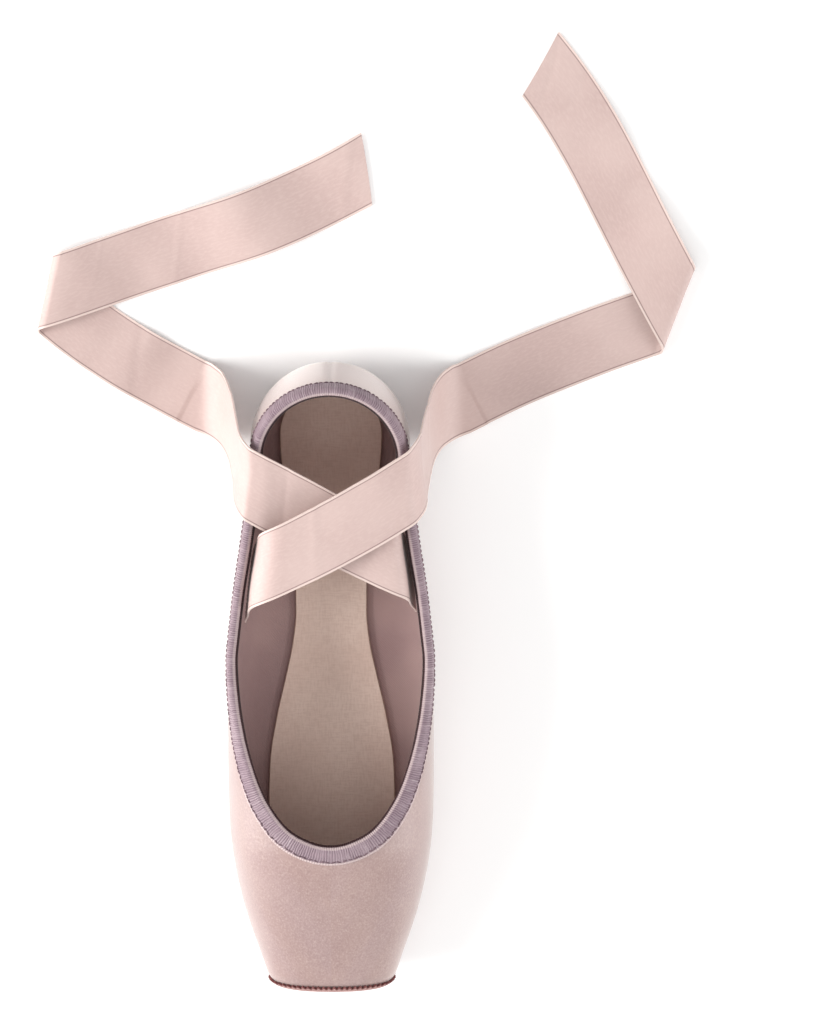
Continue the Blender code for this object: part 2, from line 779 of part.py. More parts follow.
satin = material("satin", (0.72, 0.55, 0.50), 0.4)
binding = material("binding", (0.52, 0.42, 0.46), 0.7)
leather = material("sole_leather", (0.55, 0.42, 0.30), 0.6)
board = material("insole", (0.72, 0.62, 0.50), 0.8)
suede = material("suede", (0.60, 0.30, 0.27), 0.9)
ribbon = material("ribbon", (0.76, 0.60, 0.54), 0.5)


def tread(along):
    return underside(along) - GAP - SOLE_THICKNESS


def sole_top(along):
    return underside(along) - GAP


def insole_bottom(along):
    return underside(along) + wall(along) + GAP


def insole_top(along):
    return insole_bottom(along) + INSOLE_THICKNESS


make_upper()
make_plate("outsole", SOLE_TIP, SOLE_END, SOLE_SPARE, tread, sole_top, leather, PLATE_STEPS)
make_plate("insole", INSOLE_TIP, SOLE_END, SOLE_SPARE, insole_bottom, insole_top, board, PLATE_STEPS)
make_binding()
make_patch()
make_ribbon("ribbon_left", 1, DRAPE_OVER, TRAIL_OVER, LEFT_ENTRY)
make_ribbon("ribbon_right", -1, DRAPE_UNDER, TRAIL_UNDER, RIGHT_ENTRY)
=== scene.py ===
import math

import bmesh
import bpy
import numpy as np
from mathutils import Matrix, Vector


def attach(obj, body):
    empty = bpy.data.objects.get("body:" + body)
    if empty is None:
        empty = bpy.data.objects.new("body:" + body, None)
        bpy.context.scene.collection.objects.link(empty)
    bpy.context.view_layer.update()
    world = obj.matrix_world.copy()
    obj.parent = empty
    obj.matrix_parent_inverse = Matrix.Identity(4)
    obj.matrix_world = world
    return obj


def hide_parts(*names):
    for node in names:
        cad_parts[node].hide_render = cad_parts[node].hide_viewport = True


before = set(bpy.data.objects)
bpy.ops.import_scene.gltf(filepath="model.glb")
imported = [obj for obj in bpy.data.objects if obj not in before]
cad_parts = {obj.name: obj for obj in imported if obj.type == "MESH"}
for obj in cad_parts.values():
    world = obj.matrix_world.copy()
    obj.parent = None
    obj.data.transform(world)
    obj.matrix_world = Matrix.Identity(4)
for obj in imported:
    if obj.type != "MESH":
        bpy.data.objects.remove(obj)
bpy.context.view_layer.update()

# Sizes and tables of the last, as in the solids. "along" runs from platform to heel.

MM = 0.001

# Main sizes of the last
LENGTH = 234 * MM
BALL_WIDTH = 75.5 * MM
HEEL_WIDTH = 58 * MM
PLATFORM_HEIGHT = 26 * MM
VAMP_LENGTH = 60 * MM
THROAT_HEIGHT = 52.4 * MM
TOE_SPRING = 1.8 * MM
ARCH_RISE = 3.4 * MM
PLATFORM_LEAN = math.radians(3)

# Walls and soft goods
GAP = 0.3 * MM
BOX_WALL = 3.0 * MM
QUARTER_WALL = 1.5 * MM
RIM_RADIUS = 4.5 * MM
SOLE_THICKNESS = 2.2 * MM
INSOLE_THICKNESS = 2.0 * MM
BINDING_THICKNESS = 0.6 * MM
BINDING_SLACK = 0.15 * MM
BINDING_OUTER_LEG = 5.6 * MM
BINDING_INNER_LEG = 5.0 * MM
PATCH_THICKNESS = 0.8 * MM
RIBBON_WIDTH = 25 * MM
RIBBON_THICKNESS = 0.5 * MM
RIBBON_LENGTH = 345 * MM

# Places along the shoe
SOLE_TIP = 0.145 * LENGTH
SOLE_END = LENGTH - 10.5 * MM
SOLE_SPARE = 1.2 * MM
INSOLE_TIP = 0.068 * LENGTH
OPENING_FRONT = 0.214 * LENGTH
OPENING_ROUND = 0.068 * LENGTH
OPENING_SHARE = 0.52
TREAD_NOSE = 0.064 * LENGTH
LEFT_ENTRY = 0.641 * LENGTH
RIGHT_ENTRY = 0.658 * LENGTH
SIDE_SEAM = 103 * MM
HEEL_CENTRE = LENGTH - HEEL_WIDTH / 2
TIP_Y = -(LENGTH - GAP - PATCH_THICKNESS) / 2

# Details of the cloth, the tape and the sole
LOW_ROWS = 34
PLEATS = 24
PLEAT_HEIGHT = 0.70 * MM
PLEAT_CENTRE = SOLE_TIP + 16 * MM
PLEAT_BACK = 52 * MM
BOX_INSIDE = 3.6 * MM
SEAM_WIDTH = 0.45 * MM
SEAM_DEPTH = 0.30 * MM
TAPE_EDGE = BINDING_OUTER_LEG + 0.5 * MM
TAPE_DROP = 0.4 * MM
STITCH_PITCH = 1.75 * MM
STITCH_LEAN = 0.60 * MM
TOOTH_PITCH = 1.9 * MM
CHANNEL = 3.0 * MM
CHANNEL_WIDTH = 0.45 * MM
CHANNEL_DEPTH = 0.40 * MM
CHANNEL_STEPS = np.array((-0.6, -0.3, 0.0, 0.3, 0.6, 1.2, 2.0)) * MM
SOLE_STITCH_PITCH = 3.6 * MM

# The last, station by station. along: share of LENGTH. half: half-width as a share of half
# BALL_WIDTH. spring, arch: rise of the underside as shares of TOE_SPRING and ARCH_RISE.
# widest: height of the widest point as a share of THROAT_HEIGHT. flat: half-width of the
# flat underside as a share of half BALL_WIDTH. low, top: roundness of the two parts.
LAST_COLUMNS = ("along", "half", "spring", "arch", "widest", "flat", "low", "top")
LAST = [
    (0.000, 0.596, 1.00, 0.00, 0.340, 0.20, 2.2, 2.35),
    (0.026, 0.650, 0.86, 0.00, 0.350, 0.24, 2.2, 2.35),
    (0.057, 0.711, 0.70, 0.00, 0.360, 0.30, 2.2, 2.35),
    (0.090, 0.780, 0.52, 0.00, 0.372, 0.36, 2.2, 2.35),
    (0.122, 0.840, 0.34, 0.00, 0.385, 0.42, 2.2, 2.32),
    (0.155, 0.890, 0.18, 0.00, 0.398, 0.50, 2.2, 2.30),
    (0.187, 0.930, 0.08, 0.00, 0.410, 0.58, 2.2, 2.30),
    (0.220, 0.962, 0.02, 0.00, 0.418, 0.62, 2.2, 2.30),
    (0.252, 0.984, 0.00, 0.00, 0.424, 0.645, 2.2, 2.30),
    (0.285, 0.995, 0.00, 0.00, 0.430, 0.655, 2.2, 2.30),
    (0.350, 1.000, 0.00, 0.00, 0.440, 0.64, 2.2, 2.30),
    (0.415, 0.999, 0.00, 0.02, 0.455, 0.58, 2.2, 2.30),
    (0.496, 0.996, 0.00, 0.45, 0.480, 0.47, 2.2, 2.30),
    (0.545, 0.987, 0.00, 0.82, 0.495, 0.41, 2.2, 2.30),
    (0.594, 0.956, 0.00, 1.00, 0.505, 0.38, 2.2, 2.30),
    (0.658, 0.908, 0.00, 0.80, 0.505, 0.385, 2.2, 2.30),
    (0.726, 0.852, 0.00, 0.30, 0.480, 0.43, 2.2, 2.30),
    (0.790, 0.806, 0.00, 0.00, 0.450, 0.49, 2.2, 2.30),
    (0.876, 0.768, 0.00, 0.00, 0.420, 0.53, 2.2, 2.30),
    (1.000, 0.768, 0.00, 0.00, 0.400, 0.53, 2.2, 2.30),
]

# Line of the crown ahead of the throat. along: share of VAMP_LENGTH. up: share of the rise
# from the top of the platform to the throat.
CROWN_COLUMNS = ("along", "up")
CROWN = [
    (0.00, 0.000),
    (0.18, 0.178),
    (0.35, 0.368),
    (0.53, 0.575),
    (0.70, 0.770),
    (0.82, 0.894),
    (0.92, 0.969),
    (1.00, 1.000),
]

# The collar line. along: share of the way from the throat to the back of the heel.
# out: share of the half-width of that station. up: share of THROAT_HEIGHT.
COLLAR_COLUMNS = ("along", "out", "up")
COLLAR = [
    (0.0000, 0.000, 1.000),
    (0.0090, 0.217, 0.993),
    (0.0316, 0.417, 0.972),
    (0.0678, 0.574, 0.942),
    (0.1130, 0.700, 0.911),
    (0.1638, 0.793, 0.882),
    (0.2316, 0.883, 0.848),
    (0.3107, 0.947, 0.813),
    (0.4124, 0.985, 0.771),
    (0.5198, 0.985, 0.744),
    (0.6384, 0.965, 0.752),
    (0.7514, 0.945, 0.805),
    (0.8362, 0.925, 0.880),
    (0.9209, 0.905, 0.985),
    (1.0000, 0.900, 1.065),
]

# The way of a ribbon across the shoe, seen from the front and drawn for the one that lies
# on top. out: share of the half-width of the collar. up: share of the collar height.
DRAPE_DOWN = [
    (1.165, 0.930),
    (1.215, 0.650),
    (1.270, 0.380),
    (1.390, 0.120),
    (1.560, 0.024),
    (1.800, 0.020),
]
DRAPE_OVER = [
    (-0.878, 0.52),
    (-0.876, 0.70),
    (-0.855, 0.88),
    (-0.840, 1.06),
    (-0.760, 1.190),
    (-0.550, 1.250),
    (0.000, 1.240),
    (0.550, 1.200),
    (0.850, 1.150),
    (1.030, 1.105),
    *DRAPE_DOWN,
]
DRAPE_UNDER = [
    (-0.892, 0.52),
    (-0.885, 0.70),
    (-0.855, 0.86),
    (-0.840, 1.01),
    (-0.760, 1.090),
    (-0.550, 1.105),
    (0.000, 1.065),
    (0.550, 1.070),
    (0.850, 1.095),
    (1.030, 1.090),
    *DRAPE_DOWN,
]

# How a ribbon goes on along the floor. share: of the length left after the drape.
# turn: heading in degrees, 0 straight out from the shoe and 90 towards the heel.
# Where a share stands twice, the ribbon is folded over from one heading to the next.
TRAIL_COLUMNS = ("share", "turn")
TRAIL_OVER = [
    (0.00, 27.0),
    (0.18, 22.0),
    (0.40, 19.0),
    (0.40, 119.0),
    (0.70, 117.0),
    (1.00, 130.0),
]
TRAIL_UNDER = [
    (0.00, 27.0),
    (0.15, 32.0),
    (0.31, 42.0),
    (0.31, 163.0),
    (0.68, 161.0),
    (1.00, 148.0),
]
FOLD_RADIUS = 2.8 * MM
CUT_SLANT = 0.45


def curve(xs, ys, at):
    """Reads a smooth line through points without overshoot."""
    xs = np.asarray(xs, float)
    ys = np.asarray(ys, float)
    at = np.clip(np.asarray(at, float), xs[0], xs[-1])
    h = np.diff(xs)
    d = np.diff(ys) / h
    slope = np.zeros(len(xs))
    for i in range(1, len(xs) - 1):
        if d[i - 1] * d[i] > 0:
            w1 = 2 * h[i] + h[i - 1]
            w2 = h[i] + 2 * h[i - 1]
            slope[i] = (w1 + w2) / (w1 / d[i - 1] + w2 / d[i])
    slope[0] = d[0]
    slope[-1] = d[-1]
    k = np.clip(np.searchsorted(xs, at, side="right") - 1, 0, len(xs) - 2)
    t = (at - xs[k]) / h[k]
    a = ys[k] * (1 + 2 * t) * (1 - t) ** 2
    b = slope[k] * h[k] * t * (1 - t) ** 2
    c = ys[k + 1] * t * t * (3 - 2 * t)
    e = slope[k + 1] * h[k] * t * t * (t - 1)
    return a + b + c + e


def column(table, names, name):
    return [row[names.index(name)] for row in table]


def ease(low, high, at):
    """Smooth rise from 0 to 1 between two places."""
    share = np.clip((at - low) / (high - low), 0, 1)
    return share * share * (3 - 2 * share)


def bell(value, middle, width):
    """One at the middle, fading to 0 on both sides."""
    return np.exp(-(((value - middle) / width) ** 2))


def unit(vectors):
    """The vectors at length 1."""
    return vectors / np.maximum(np.linalg.norm(vectors, axis=-1, keepdims=True), 1e-12)


def run_along(line):
    """Distance along a line of points, at each of them."""
    return np.concatenate([[0], np.cumsum(np.linalg.norm(np.diff(line, axis=0), axis=1))])


def exact_last(name, along):
    """A column of the table of the last, as a smooth line along the shoe."""
    xs = column(LAST, LAST_COLUMNS, "along")
    return curve(xs, column(LAST, LAST_COLUMNS, name), np.asarray(along) / LENGTH)


PLACES = np.linspace(0, LENGTH, 5001)
LAST_READ = {name: exact_last(name, PLACES) for name in LAST_COLUMNS[1:]}


def last(name, along):
    """The same table, read quickly."""
    return np.interp(along, PLACES, LAST_READ[name])


def half_width(along):
    """Half-width of the outline, round behind the centre of the heel."""
    table = last("half", along) * BALL_WIDTH / 2
    back = np.clip((np.asarray(along) - HEEL_CENTRE) / (LENGTH - HEEL_CENTRE), 0, 1)
    return np.where(back > 0, HEEL_WIDTH / 2 * np.sqrt(1 - back**2), table)


def underside(along):
    rise = last("spring", along) * TOE_SPRING + last("arch", along) * ARCH_RISE
    return SOLE_THICKNESS + GAP + rise


def widest(along):
    return last("widest", along) * THROAT_HEIGHT


def flat(along):
    """Half-width of the flat underside as a share of the half-width."""
    side = last("flat", along) * BALL_WIDTH / 2
    return side / np.maximum(half_width(np.minimum(along, HEEL_CENTRE)), MM)


def from_throat(along):
    """Square root of the way behind the throat, in which the collar is smooth."""
    share = (np.asarray(along, float) - VAMP_LENGTH) / (LENGTH - VAMP_LENGTH)
    return np.sqrt(np.clip(share, 0, 1))


def collar(name, along):
    xs = np.sqrt(column(COLLAR, COLLAR_COLUMNS, "along"))
    ys = np.array(column(COLLAR, COLLAR_COLUMNS, name))
    odd = -1 if name == "out" else 1
    xs = np.concatenate([-xs[:0:-1], xs])
    ys = np.concatenate([odd * ys[:0:-1], ys])
    return curve(xs, ys, from_throat(along))


def sharp_crown(along):
    """Height of the top of the section, imagined closed where the shoe is open."""
    along = np.asarray(along, float)
    share = np.clip(along / VAMP_LENGTH, 0, 1)
    rise = curve(column(CROWN, CROWN_COLUMNS, "along"), column(CROWN, CROWN_COLUMNS, "up"), share)
    base = underside(0.0) + PLATFORM_HEIGHT
    front = base + rise * (THROAT_HEIGHT - base)
    n = last("top", along)
    out = np.clip(collar("out", along), 0, 0.999)
    part = (1 - out**n) ** (1 / n)
    low = widest(along)
    behind = low + (collar("up", along) * THROAT_HEIGHT - low) / part
    return np.where(along > VAMP_LENGTH, behind, front)


def eased_crown(along):
    """The same, eased over the throat."""
    along = np.asarray(along, float)
    sharp = sharp_crown(along)
    mean = 0
    for shift, weight in ((-6, 1), (-3, 2), (0, 3), (3, 2), (6, 1)):
        mean = mean + weight / 9 * sharp_crown(along + shift * MM)
    return sharp + (mean - sharp) * np.exp(-(((along - VAMP_LENGTH) / (9 * MM)) ** 4))


CROWN_READ = eased_crown(PLACES)


def crown(along):
    """The eased line, read quickly."""
    return np.interp(along, PLACES, CROWN_READ)


def collar_angle(along):
    out = np.clip(collar("out", along), 0, 1)
    angle = np.arccos(out ** (last("top", along) / 2))
    return np.where(np.asarray(along) > VAMP_LENGTH, angle, math.pi / 2)


def centre(along):
    return np.minimum(along, HEEL_CENTRE)


def spot(along, share, height):
    """A point of the section at one station, fanned round the heel."""
    back = np.clip((along - HEEL_CENTRE) / (LENGTH - HEEL_CENTRE), 0, 1)
    x = half_width(along) * share
    y = centre(along) + share * back * (LENGTH - HEEL_CENTRE)
    return np.stack(np.broadcast_arrays(x, y, height), axis=-1)


def skin(along, angle):
    """A point of the outside: angle -90 at the flat underside, 0 widest, 90 crown."""
    along = np.asarray(along, float)
    angle = np.asarray(angle, float)
    low = last("low", along)
    top = last("top", along)
    f = flat(along)
    c = np.abs(np.cos(angle))
    c = np.where(c < 1e-9, 0, c)
    s = np.abs(np.sin(angle))
    under = angle < 0
    share = np.where(under, f + (1 - f) * c ** (2 / low), c ** (2 / top))
    z_low = widest(along) - (widest(along) - underside(along)) * s ** (2 / low)
    z_top = widest(along) + (crown(along) - widest(along)) * s ** (2 / top)
    return spot(along, share, np.where(under, z_low, z_top))


def level(points):
    """Zero on the outside of the shoe, above zero outside it."""
    x = np.abs(points[..., 0])
    y = points[..., 1]
    z = points[..., 2]
    dy = y - HEEL_CENTRE
    turn = np.arctan2(np.maximum(dy, 0), np.maximum(x, 1e-9))
    behind = dy > 0
    along = np.where(behind, HEEL_CENTRE + (LENGTH - HEEL_CENTRE) * np.sin(turn), y)
    reach = np.hypot(x, np.maximum(dy, 0))
    share = np.where(behind, reach / (HEEL_WIDTH / 2), x / np.maximum(half_width(along), MM))
    w = widest(along)
    f = flat(along)
    high = z >= w
    n = np.where(high, last("top", along), last("low", along))
    rise = np.where(high, (z - w) / (crown(along) - w), (w - z) / (w - underside(along)))
    part = np.where(high, share, np.maximum(share - f, 0) / (1 - f))
    return part**n + np.abs(rise) ** n - 1


def slope(points):
    """Gradient of level()."""
    h = 0.02 * MM
    grad = np.empty(points.shape)
    for k in range(3):
        step = np.zeros(3)
        step[k] = h
        grad[..., k] = (level(points + step) - level(points - step)) / (2 * h)
    return grad


def onto_skin(points):
    p = np.array(points, float)
    for _ in range(6):
        g = slope(p)
        p = p - (level(p) / np.sum(g * g, axis=-1))[..., None] * g
    return p


def outward(points):
    return unit(slope(points))


def collar_line():
    """The collar edge from throat to heel as a dense line, with its stations."""
    t = np.linspace(0, 1, 2001)
    along = VAMP_LENGTH + (LENGTH - VAMP_LENGTH) * t**2
    turn = np.linspace(0, math.pi / 2, 801)[1:]
    along = along[along < HEEL_CENTRE]
    along = np.concatenate([along, HEEL_CENTRE + (LENGTH - HEEL_CENTRE) * np.sin(turn)])
    return along, skin(along, collar_angle(along))


def place(points):
    """Shoe sizes to the frame, with the lean of the platform."""
    p = np.array(points, float)
    fade = np.clip(1 - p[..., 1] / (0.13 * LENGTH), 0, 1) ** 2
    middle = underside(0.0) + PLATFORM_HEIGHT / 2
    p[..., 1] += TIP_Y - math.tan(PLATFORM_LEAN) * (p[..., 2] - middle) * fade
    return p


def wall(along):
    """Thickness of the upper: stiff box, soft quarters."""
    soft = ease(0.12, 0.24, np.asarray(along, float) / LENGTH)
    return BOX_WALL + (QUARTER_WALL - BOX_WALL) * soft


def rim(count):
    """Stations of the rounded rim: place along, and how far each is drawn in."""
    turn = np.linspace(math.pi / 2, 0, count)
    return RIM_RADIUS * (1 - np.cos(math.pi / 2 - turn)), RIM_RADIUS * (1 - np.cos(turn))


def opening(along):
    """Half-width of the gap under the foot, as a share of the half-width."""
    side = np.clip((along - OPENING_FRONT) / OPENING_ROUND, 0, 1)
    bow = np.sqrt(1 - (1 - side) ** 2)
    return flat(along) * OPENING_SHARE * bow


def front_section(along, inset, angles):
    """One section of the closed toe, drawn in all round for the rim."""
    points = skin(np.full(len(angles), along), angles)
    middle = (underside(along) + crown(along)) / 2
    half = half_width(along)
    tall = (crown(along) - underside(along)) / 2
    if inset > 0:
        points[:, 0] *= 1 - inset / half
    points[:, 2] = middle + (points[:, 2] - middle) * (1 - inset / tall)
    return points


def sole_outline(along, front, back, spare):
    """Half-width of the sole outline between two rounded ends."""
    side = last("flat", centre(along)) * BALL_WIDTH / 2 - spare
    reach = back - HEEL_CENTRE
    behind = np.clip((along - HEEL_CENTRE) / reach, 0, 1)
    nose = np.clip((along - front) / (0.8 * side), 0, 1)
    return side * np.sqrt(1 - behind**2) * np.sqrt(1 - (1 - nose) ** 2)


def collar_plan():
    """Half-width and height of the collar against the true distance along."""
    _, line = collar_line()
    return line[:, 1], line[:, 0], line[:, 2]


def ribbon_grid(side, drape, trail, entry, count, across):
    """Points of a ribbon's middle sheet: out of the shoe, across it, and along the floor."""
    y, x, z = collar_plan()
    table = np.array(drape)
    nominal = np.array([np.interp(entry + TREAD_NOSE, y, x), np.interp(entry + TREAD_NOSE, y, z)])
    key = table * nominal
    u = np.arange(len(key))
    fine = np.linspace(0, len(key) - 1, 1200)
    path = np.stack([curve(u, key[:, k], fine) for k in range(2)], -1)
    run = run_along(path)
    lean = math.radians(trail[0][1])
    drape_length = run[-1] / math.cos(lean) - RIBBON_WIDTH / 2 * math.tan(lean)
    offsets = np.linspace(-0.5, 0.5, across) * RIBBON_WIDTH
    drape_count = int(count * 0.42)
    rows = []
    for far in np.linspace(0, drape_length, drape_count):
        row = []
        for c in offsets:
            p = far * math.cos(lean) - c * math.sin(lean)
            q = entry + far * math.sin(lean) + c * math.cos(lean)
            px = np.interp(p, run, path[:, 0]) if p > 0 else path[0, 0]
            pz = np.interp(p, run, path[:, 1]) if p > 0 else path[0, 1] + p
            here_x = np.interp(min(q, HEEL_CENTRE - 0.021 * LENGTH), y, x)
            here_z = np.interp(q, y, z)
            beyond = np.clip((px / nominal[0] - 1.1) / 0.5, 0, 1)
            scale = here_x / nominal[0]
            scale += (1 - scale) * beyond
            tall = here_z / nominal[1]
            tall += (1 - tall) * beyond
            row.append((side * px * scale, q, pz * tall))
        rows.append(row)
    grid = np.array(rows)
    end = grid[-1].mean(axis=0)
    start = np.array([side * end[0], end[1]])
    rest = RIBBON_LENGTH - drape_length
    on_floor = floor_run(start, end[2], trail, rest, count - drape_count, offsets)
    return np.concatenate([grid, on_floor * (side, 1, 1)])


def floor_run(start, height, trail, length, count, offsets):
    """A ribbon laid on the floor with one fold, unrolled first and then folded over."""
    shares = column(trail, TRAIL_COLUMNS, "share")
    turns = column(trail, TRAIL_COLUMNS, "turn")
    k = next(i for i in range(len(shares) - 1) if shares[i] == shares[i + 1])
    fold = (turns[k] + turns[k + 1]) / 2
    flat_shares = shares[: k + 1] + shares[k + 2 :]
    flat_turns = turns[: k + 1] + [2 * fold - turn for turn in turns[k + 2 :]]
    at_fold = shares[k] * length
    skew = 1 / math.tan(math.radians(fold - turns[k]))

    fine = np.linspace(0, length + RIBBON_WIDTH, 1500)
    heading = np.radians(curve(flat_shares, flat_turns, np.minimum(fine / length, 1)))
    step = fine[1] - fine[0]
    middle_x = start[0] + np.concatenate([[0], np.cumsum(np.cos(heading[:-1]))]) * step
    middle_y = start[1] + np.concatenate([[0], np.cumsum(np.sin(heading[:-1]))]) * step

    reach = 1.2 * RIBBON_WIDTH
    loop = math.pi * FOLD_RADIUS
    near = ease(at_fold - reach, at_fold - 0.1 * reach, fine)
    near = near * (1 - ease(at_fold + loop + 0.1 * reach, at_fold + loop + reach, fine))
    lean = skew * near + CUT_SLANT * ease(length - reach, length, fine)
    tight = np.exp(-(((fine - at_fold - loop / 2) / (0.7 * loop)) ** 2))
    load = np.concatenate([[0], np.cumsum(1 + 5 * tight[:-1])])
    total = np.interp(length - CUT_SLANT * RIBBON_WIDTH / 2, fine, load)
    along = np.interp(np.linspace(0, total, count + 1)[1:], load, fine)

    c = np.broadcast_to(offsets, (count, len(offsets)))
    u = along[:, None] + c * np.interp(along, fine, lean)[:, None]
    turn = np.interp(u, fine, heading)
    x = np.interp(u, fine, middle_x) - c * np.sin(turn)
    y = np.interp(u, fine, middle_y) + c * np.cos(turn)

    pivot = np.array([np.interp(at_fold, fine, middle_x), np.interp(at_fold, fine, middle_y)])
    ahead = np.array([math.sin(math.radians(fold)), -math.cos(math.radians(fold))])
    past = (x - pivot[0]) * ahead[0] + (y - pivot[1]) * ahead[1]
    angle = np.clip(past / FOLD_RADIUS, 0, math.pi)
    beyond = np.maximum(past - loop, 0)
    shift = np.where(past > 0, FOLD_RADIUS * np.sin(angle) - beyond - past, 0)
    x = x + shift * ahead[0]
    y = y + shift * ahead[1]

    first = math.radians(turns[k])
    beside = (pivot[1] - y) * math.cos(first) - (pivot[0] - x) * math.sin(first)
    off = np.abs(beside) - RIBBON_WIDTH / 2
    above = 2.6 * RIBBON_THICKNESS
    under = np.where(past > 0, above * (1 - ease(0, 0.8 * RIBBON_WIDTH, off)), 0)
    spring = np.where(past > 0, 1 - ease(0, 1.3 * RIBBON_WIDTH, beyond), 0)
    bulge = (2 * FOLD_RADIUS - above) * spring
    rise = np.where(past > loop, under + bulge, FOLD_RADIUS * (1 - np.cos(angle)))
    calm = ease(0.9 * reach, 1.9 * reach, np.abs(u - at_fold - loop / 2))
    calm = calm * ease(0, 1.2 * reach, u)
    ripple = (u - at_fold + 0.25 * c) / RIBBON_WIDTH
    wave = np.sin(math.pi * ripple / 2.3) ** 2 * (0.55 + 0.45 * np.sin(1.1 * ripple + turns[k]))
    wave = 0.17 * RIBBON_WIDTH * wave
    base = 0.75 * RIBBON_THICKNESS
    base = base + (height - base) * (1 - ease(0, 0.8 * RIBBON_WIDTH, u))
    return np.stack([x, y, base + rise + wave * calm], -1)


def hash_noise(x, y, z, seed):
    """Smooth repeatable noise from -1 to 1 on a unit grid."""
    p = np.stack(np.broadcast_arrays(x, y, z), -1)
    cell = np.floor(p).astype(np.int64)
    t = p - cell
    t = t * t * (3 - 2 * t)
    total = 0
    for dx in (0, 1):
        for dy in (0, 1):
            for dz in (0, 1):
                n = (cell[..., 0] + dx) * 73856093
                n = n ^ ((cell[..., 1] + dy) * 19349663)
                n = n ^ ((cell[..., 2] + dz) * 83492791)
                n = (n ^ (seed * 2654435761)) & 0xFFFFFFFF
                n = (n * 1103515245 + 12345) & 0x7FFFFFFF
                n = ((n >> 8) & 0xFFFF) / 32767.5 - 1
                wx = t[..., 0] if dx else 1 - t[..., 0]
                wy = t[..., 1] if dy else 1 - t[..., 1]
                wz = t[..., 2] if dz else 1 - t[..., 2]
                total = total + n * wx * wy * wz
    return total


# Nodes

class Nodes:
    """Short way to build a material's node tree."""

    def __init__(self, name):
        self.mat = bpy.data.materials.new(name)
        self.mat.use_nodes = True
        self.tree = self.mat.node_tree
        self.tree.nodes.clear()
        self.out = self.tree.nodes.new("ShaderNodeOutputMaterial")
        self.shader = self.tree.nodes.new("ShaderNodeBsdfPrincipled")
        self.tree.links.new(self.shader.outputs[0], self.out.inputs["Surface"])

    def node(self, kind, inputs=(), **props):
        n = self.tree.nodes.new(kind)
        for key, value in props.items():
            setattr(n, key, value)
        for key, value in dict(inputs).items():
            self.put(n.inputs[key], value)
        return n

    def put(self, socket, value):
        if isinstance(value, bpy.types.NodeSocket):
            self.tree.links.new(value, socket)
        elif isinstance(value, bpy.types.Node):
            self.tree.links.new(value.outputs[0], socket)
        else:
            socket.default_value = value

    def set(self, **inputs):
        names = {"color": "Base Color", "rough": "Roughness", "sheen": "Sheen Weight",
                 "sheen_rough": "Sheen Roughness", "sheen_tint": "Sheen Tint",
                 "coat": "Coat Weight", "coat_rough": "Coat Roughness",
                 "spec": "Specular IOR Level", "aniso": "Anisotropic", "normal": "Normal",
                 "tangent": "Tangent", "glow": "Emission Strength",
                 "glow_color": "Emission Color"}
        for key, value in inputs.items():
            self.put(self.shader.inputs[names[key]], value)

    def uv(self, scale):
        coords = self.node("ShaderNodeTexCoord")
        return self.node("ShaderNodeMapping", {"Vector": coords.outputs["UV"], "Scale": scale})

    def solid(self, scale=(1, 1, 1)):
        coords = self.node("ShaderNodeTexCoord")
        return self.node("ShaderNodeMapping", {"Vector": coords.outputs["Object"], "Scale": scale})

    def noise(self, vector, scale, detail=2.0, rough=0.5):
        return self.node("ShaderNodeTexNoise", {"Vector": vector, "Scale": scale,
                                                "Detail": detail, "Roughness": rough})

    def wave(self, vector, scale, direction="X", distort=0.0):
        return self.node("ShaderNodeTexWave", {"Vector": vector, "Scale": scale,
                                               "Distortion": distort, "Detail": 1.0},
                         bands_direction=direction)

    def mix(self, factor, a, b):
        n = self.node("ShaderNodeMix", data_type="RGBA")
        self.put(n.inputs[0], factor)
        self.put(n.inputs[6], a)
        self.put(n.inputs[7], b)
        return n.outputs[2]

    def math(self, kind, a, b=0.5):
        return self.node("ShaderNodeMath", {0: a, 1: b}, operation=kind).outputs[0]

    def span(self, value, low, high, to_low=0.0, to_high=1.0):
        n = self.node("ShaderNodeMapRange", interpolation_type="SMOOTHSTEP")
        for key, item in enumerate((value, low, high, to_low, to_high)):
            self.put(n.inputs[key], item)
        return n.outputs[0]

    def bump(self, height, distance, strength):
        inputs = {"Height": height, "Distance": distance, "Strength": strength}
        return self.node("ShaderNodeBump", inputs)

    def attribute(self, name):
        return self.node("ShaderNodeAttribute", attribute_name=name).outputs["Fac"]

    def tint(self, base, mask, share, colour):
        """The colour laid over the base where the mask is, up to a share."""
        return self.mix(self.math("MULTIPLY", mask, share), base, colour)

    def both(self, first, share, second, other):
        """Two patterns added as one height."""
        return self.math("ADD", self.math("MULTIPLY", first, share),
                         self.math("MULTIPLY", second, other))


def rgb(r, g, b):
    return (r, g, b, 1.0)


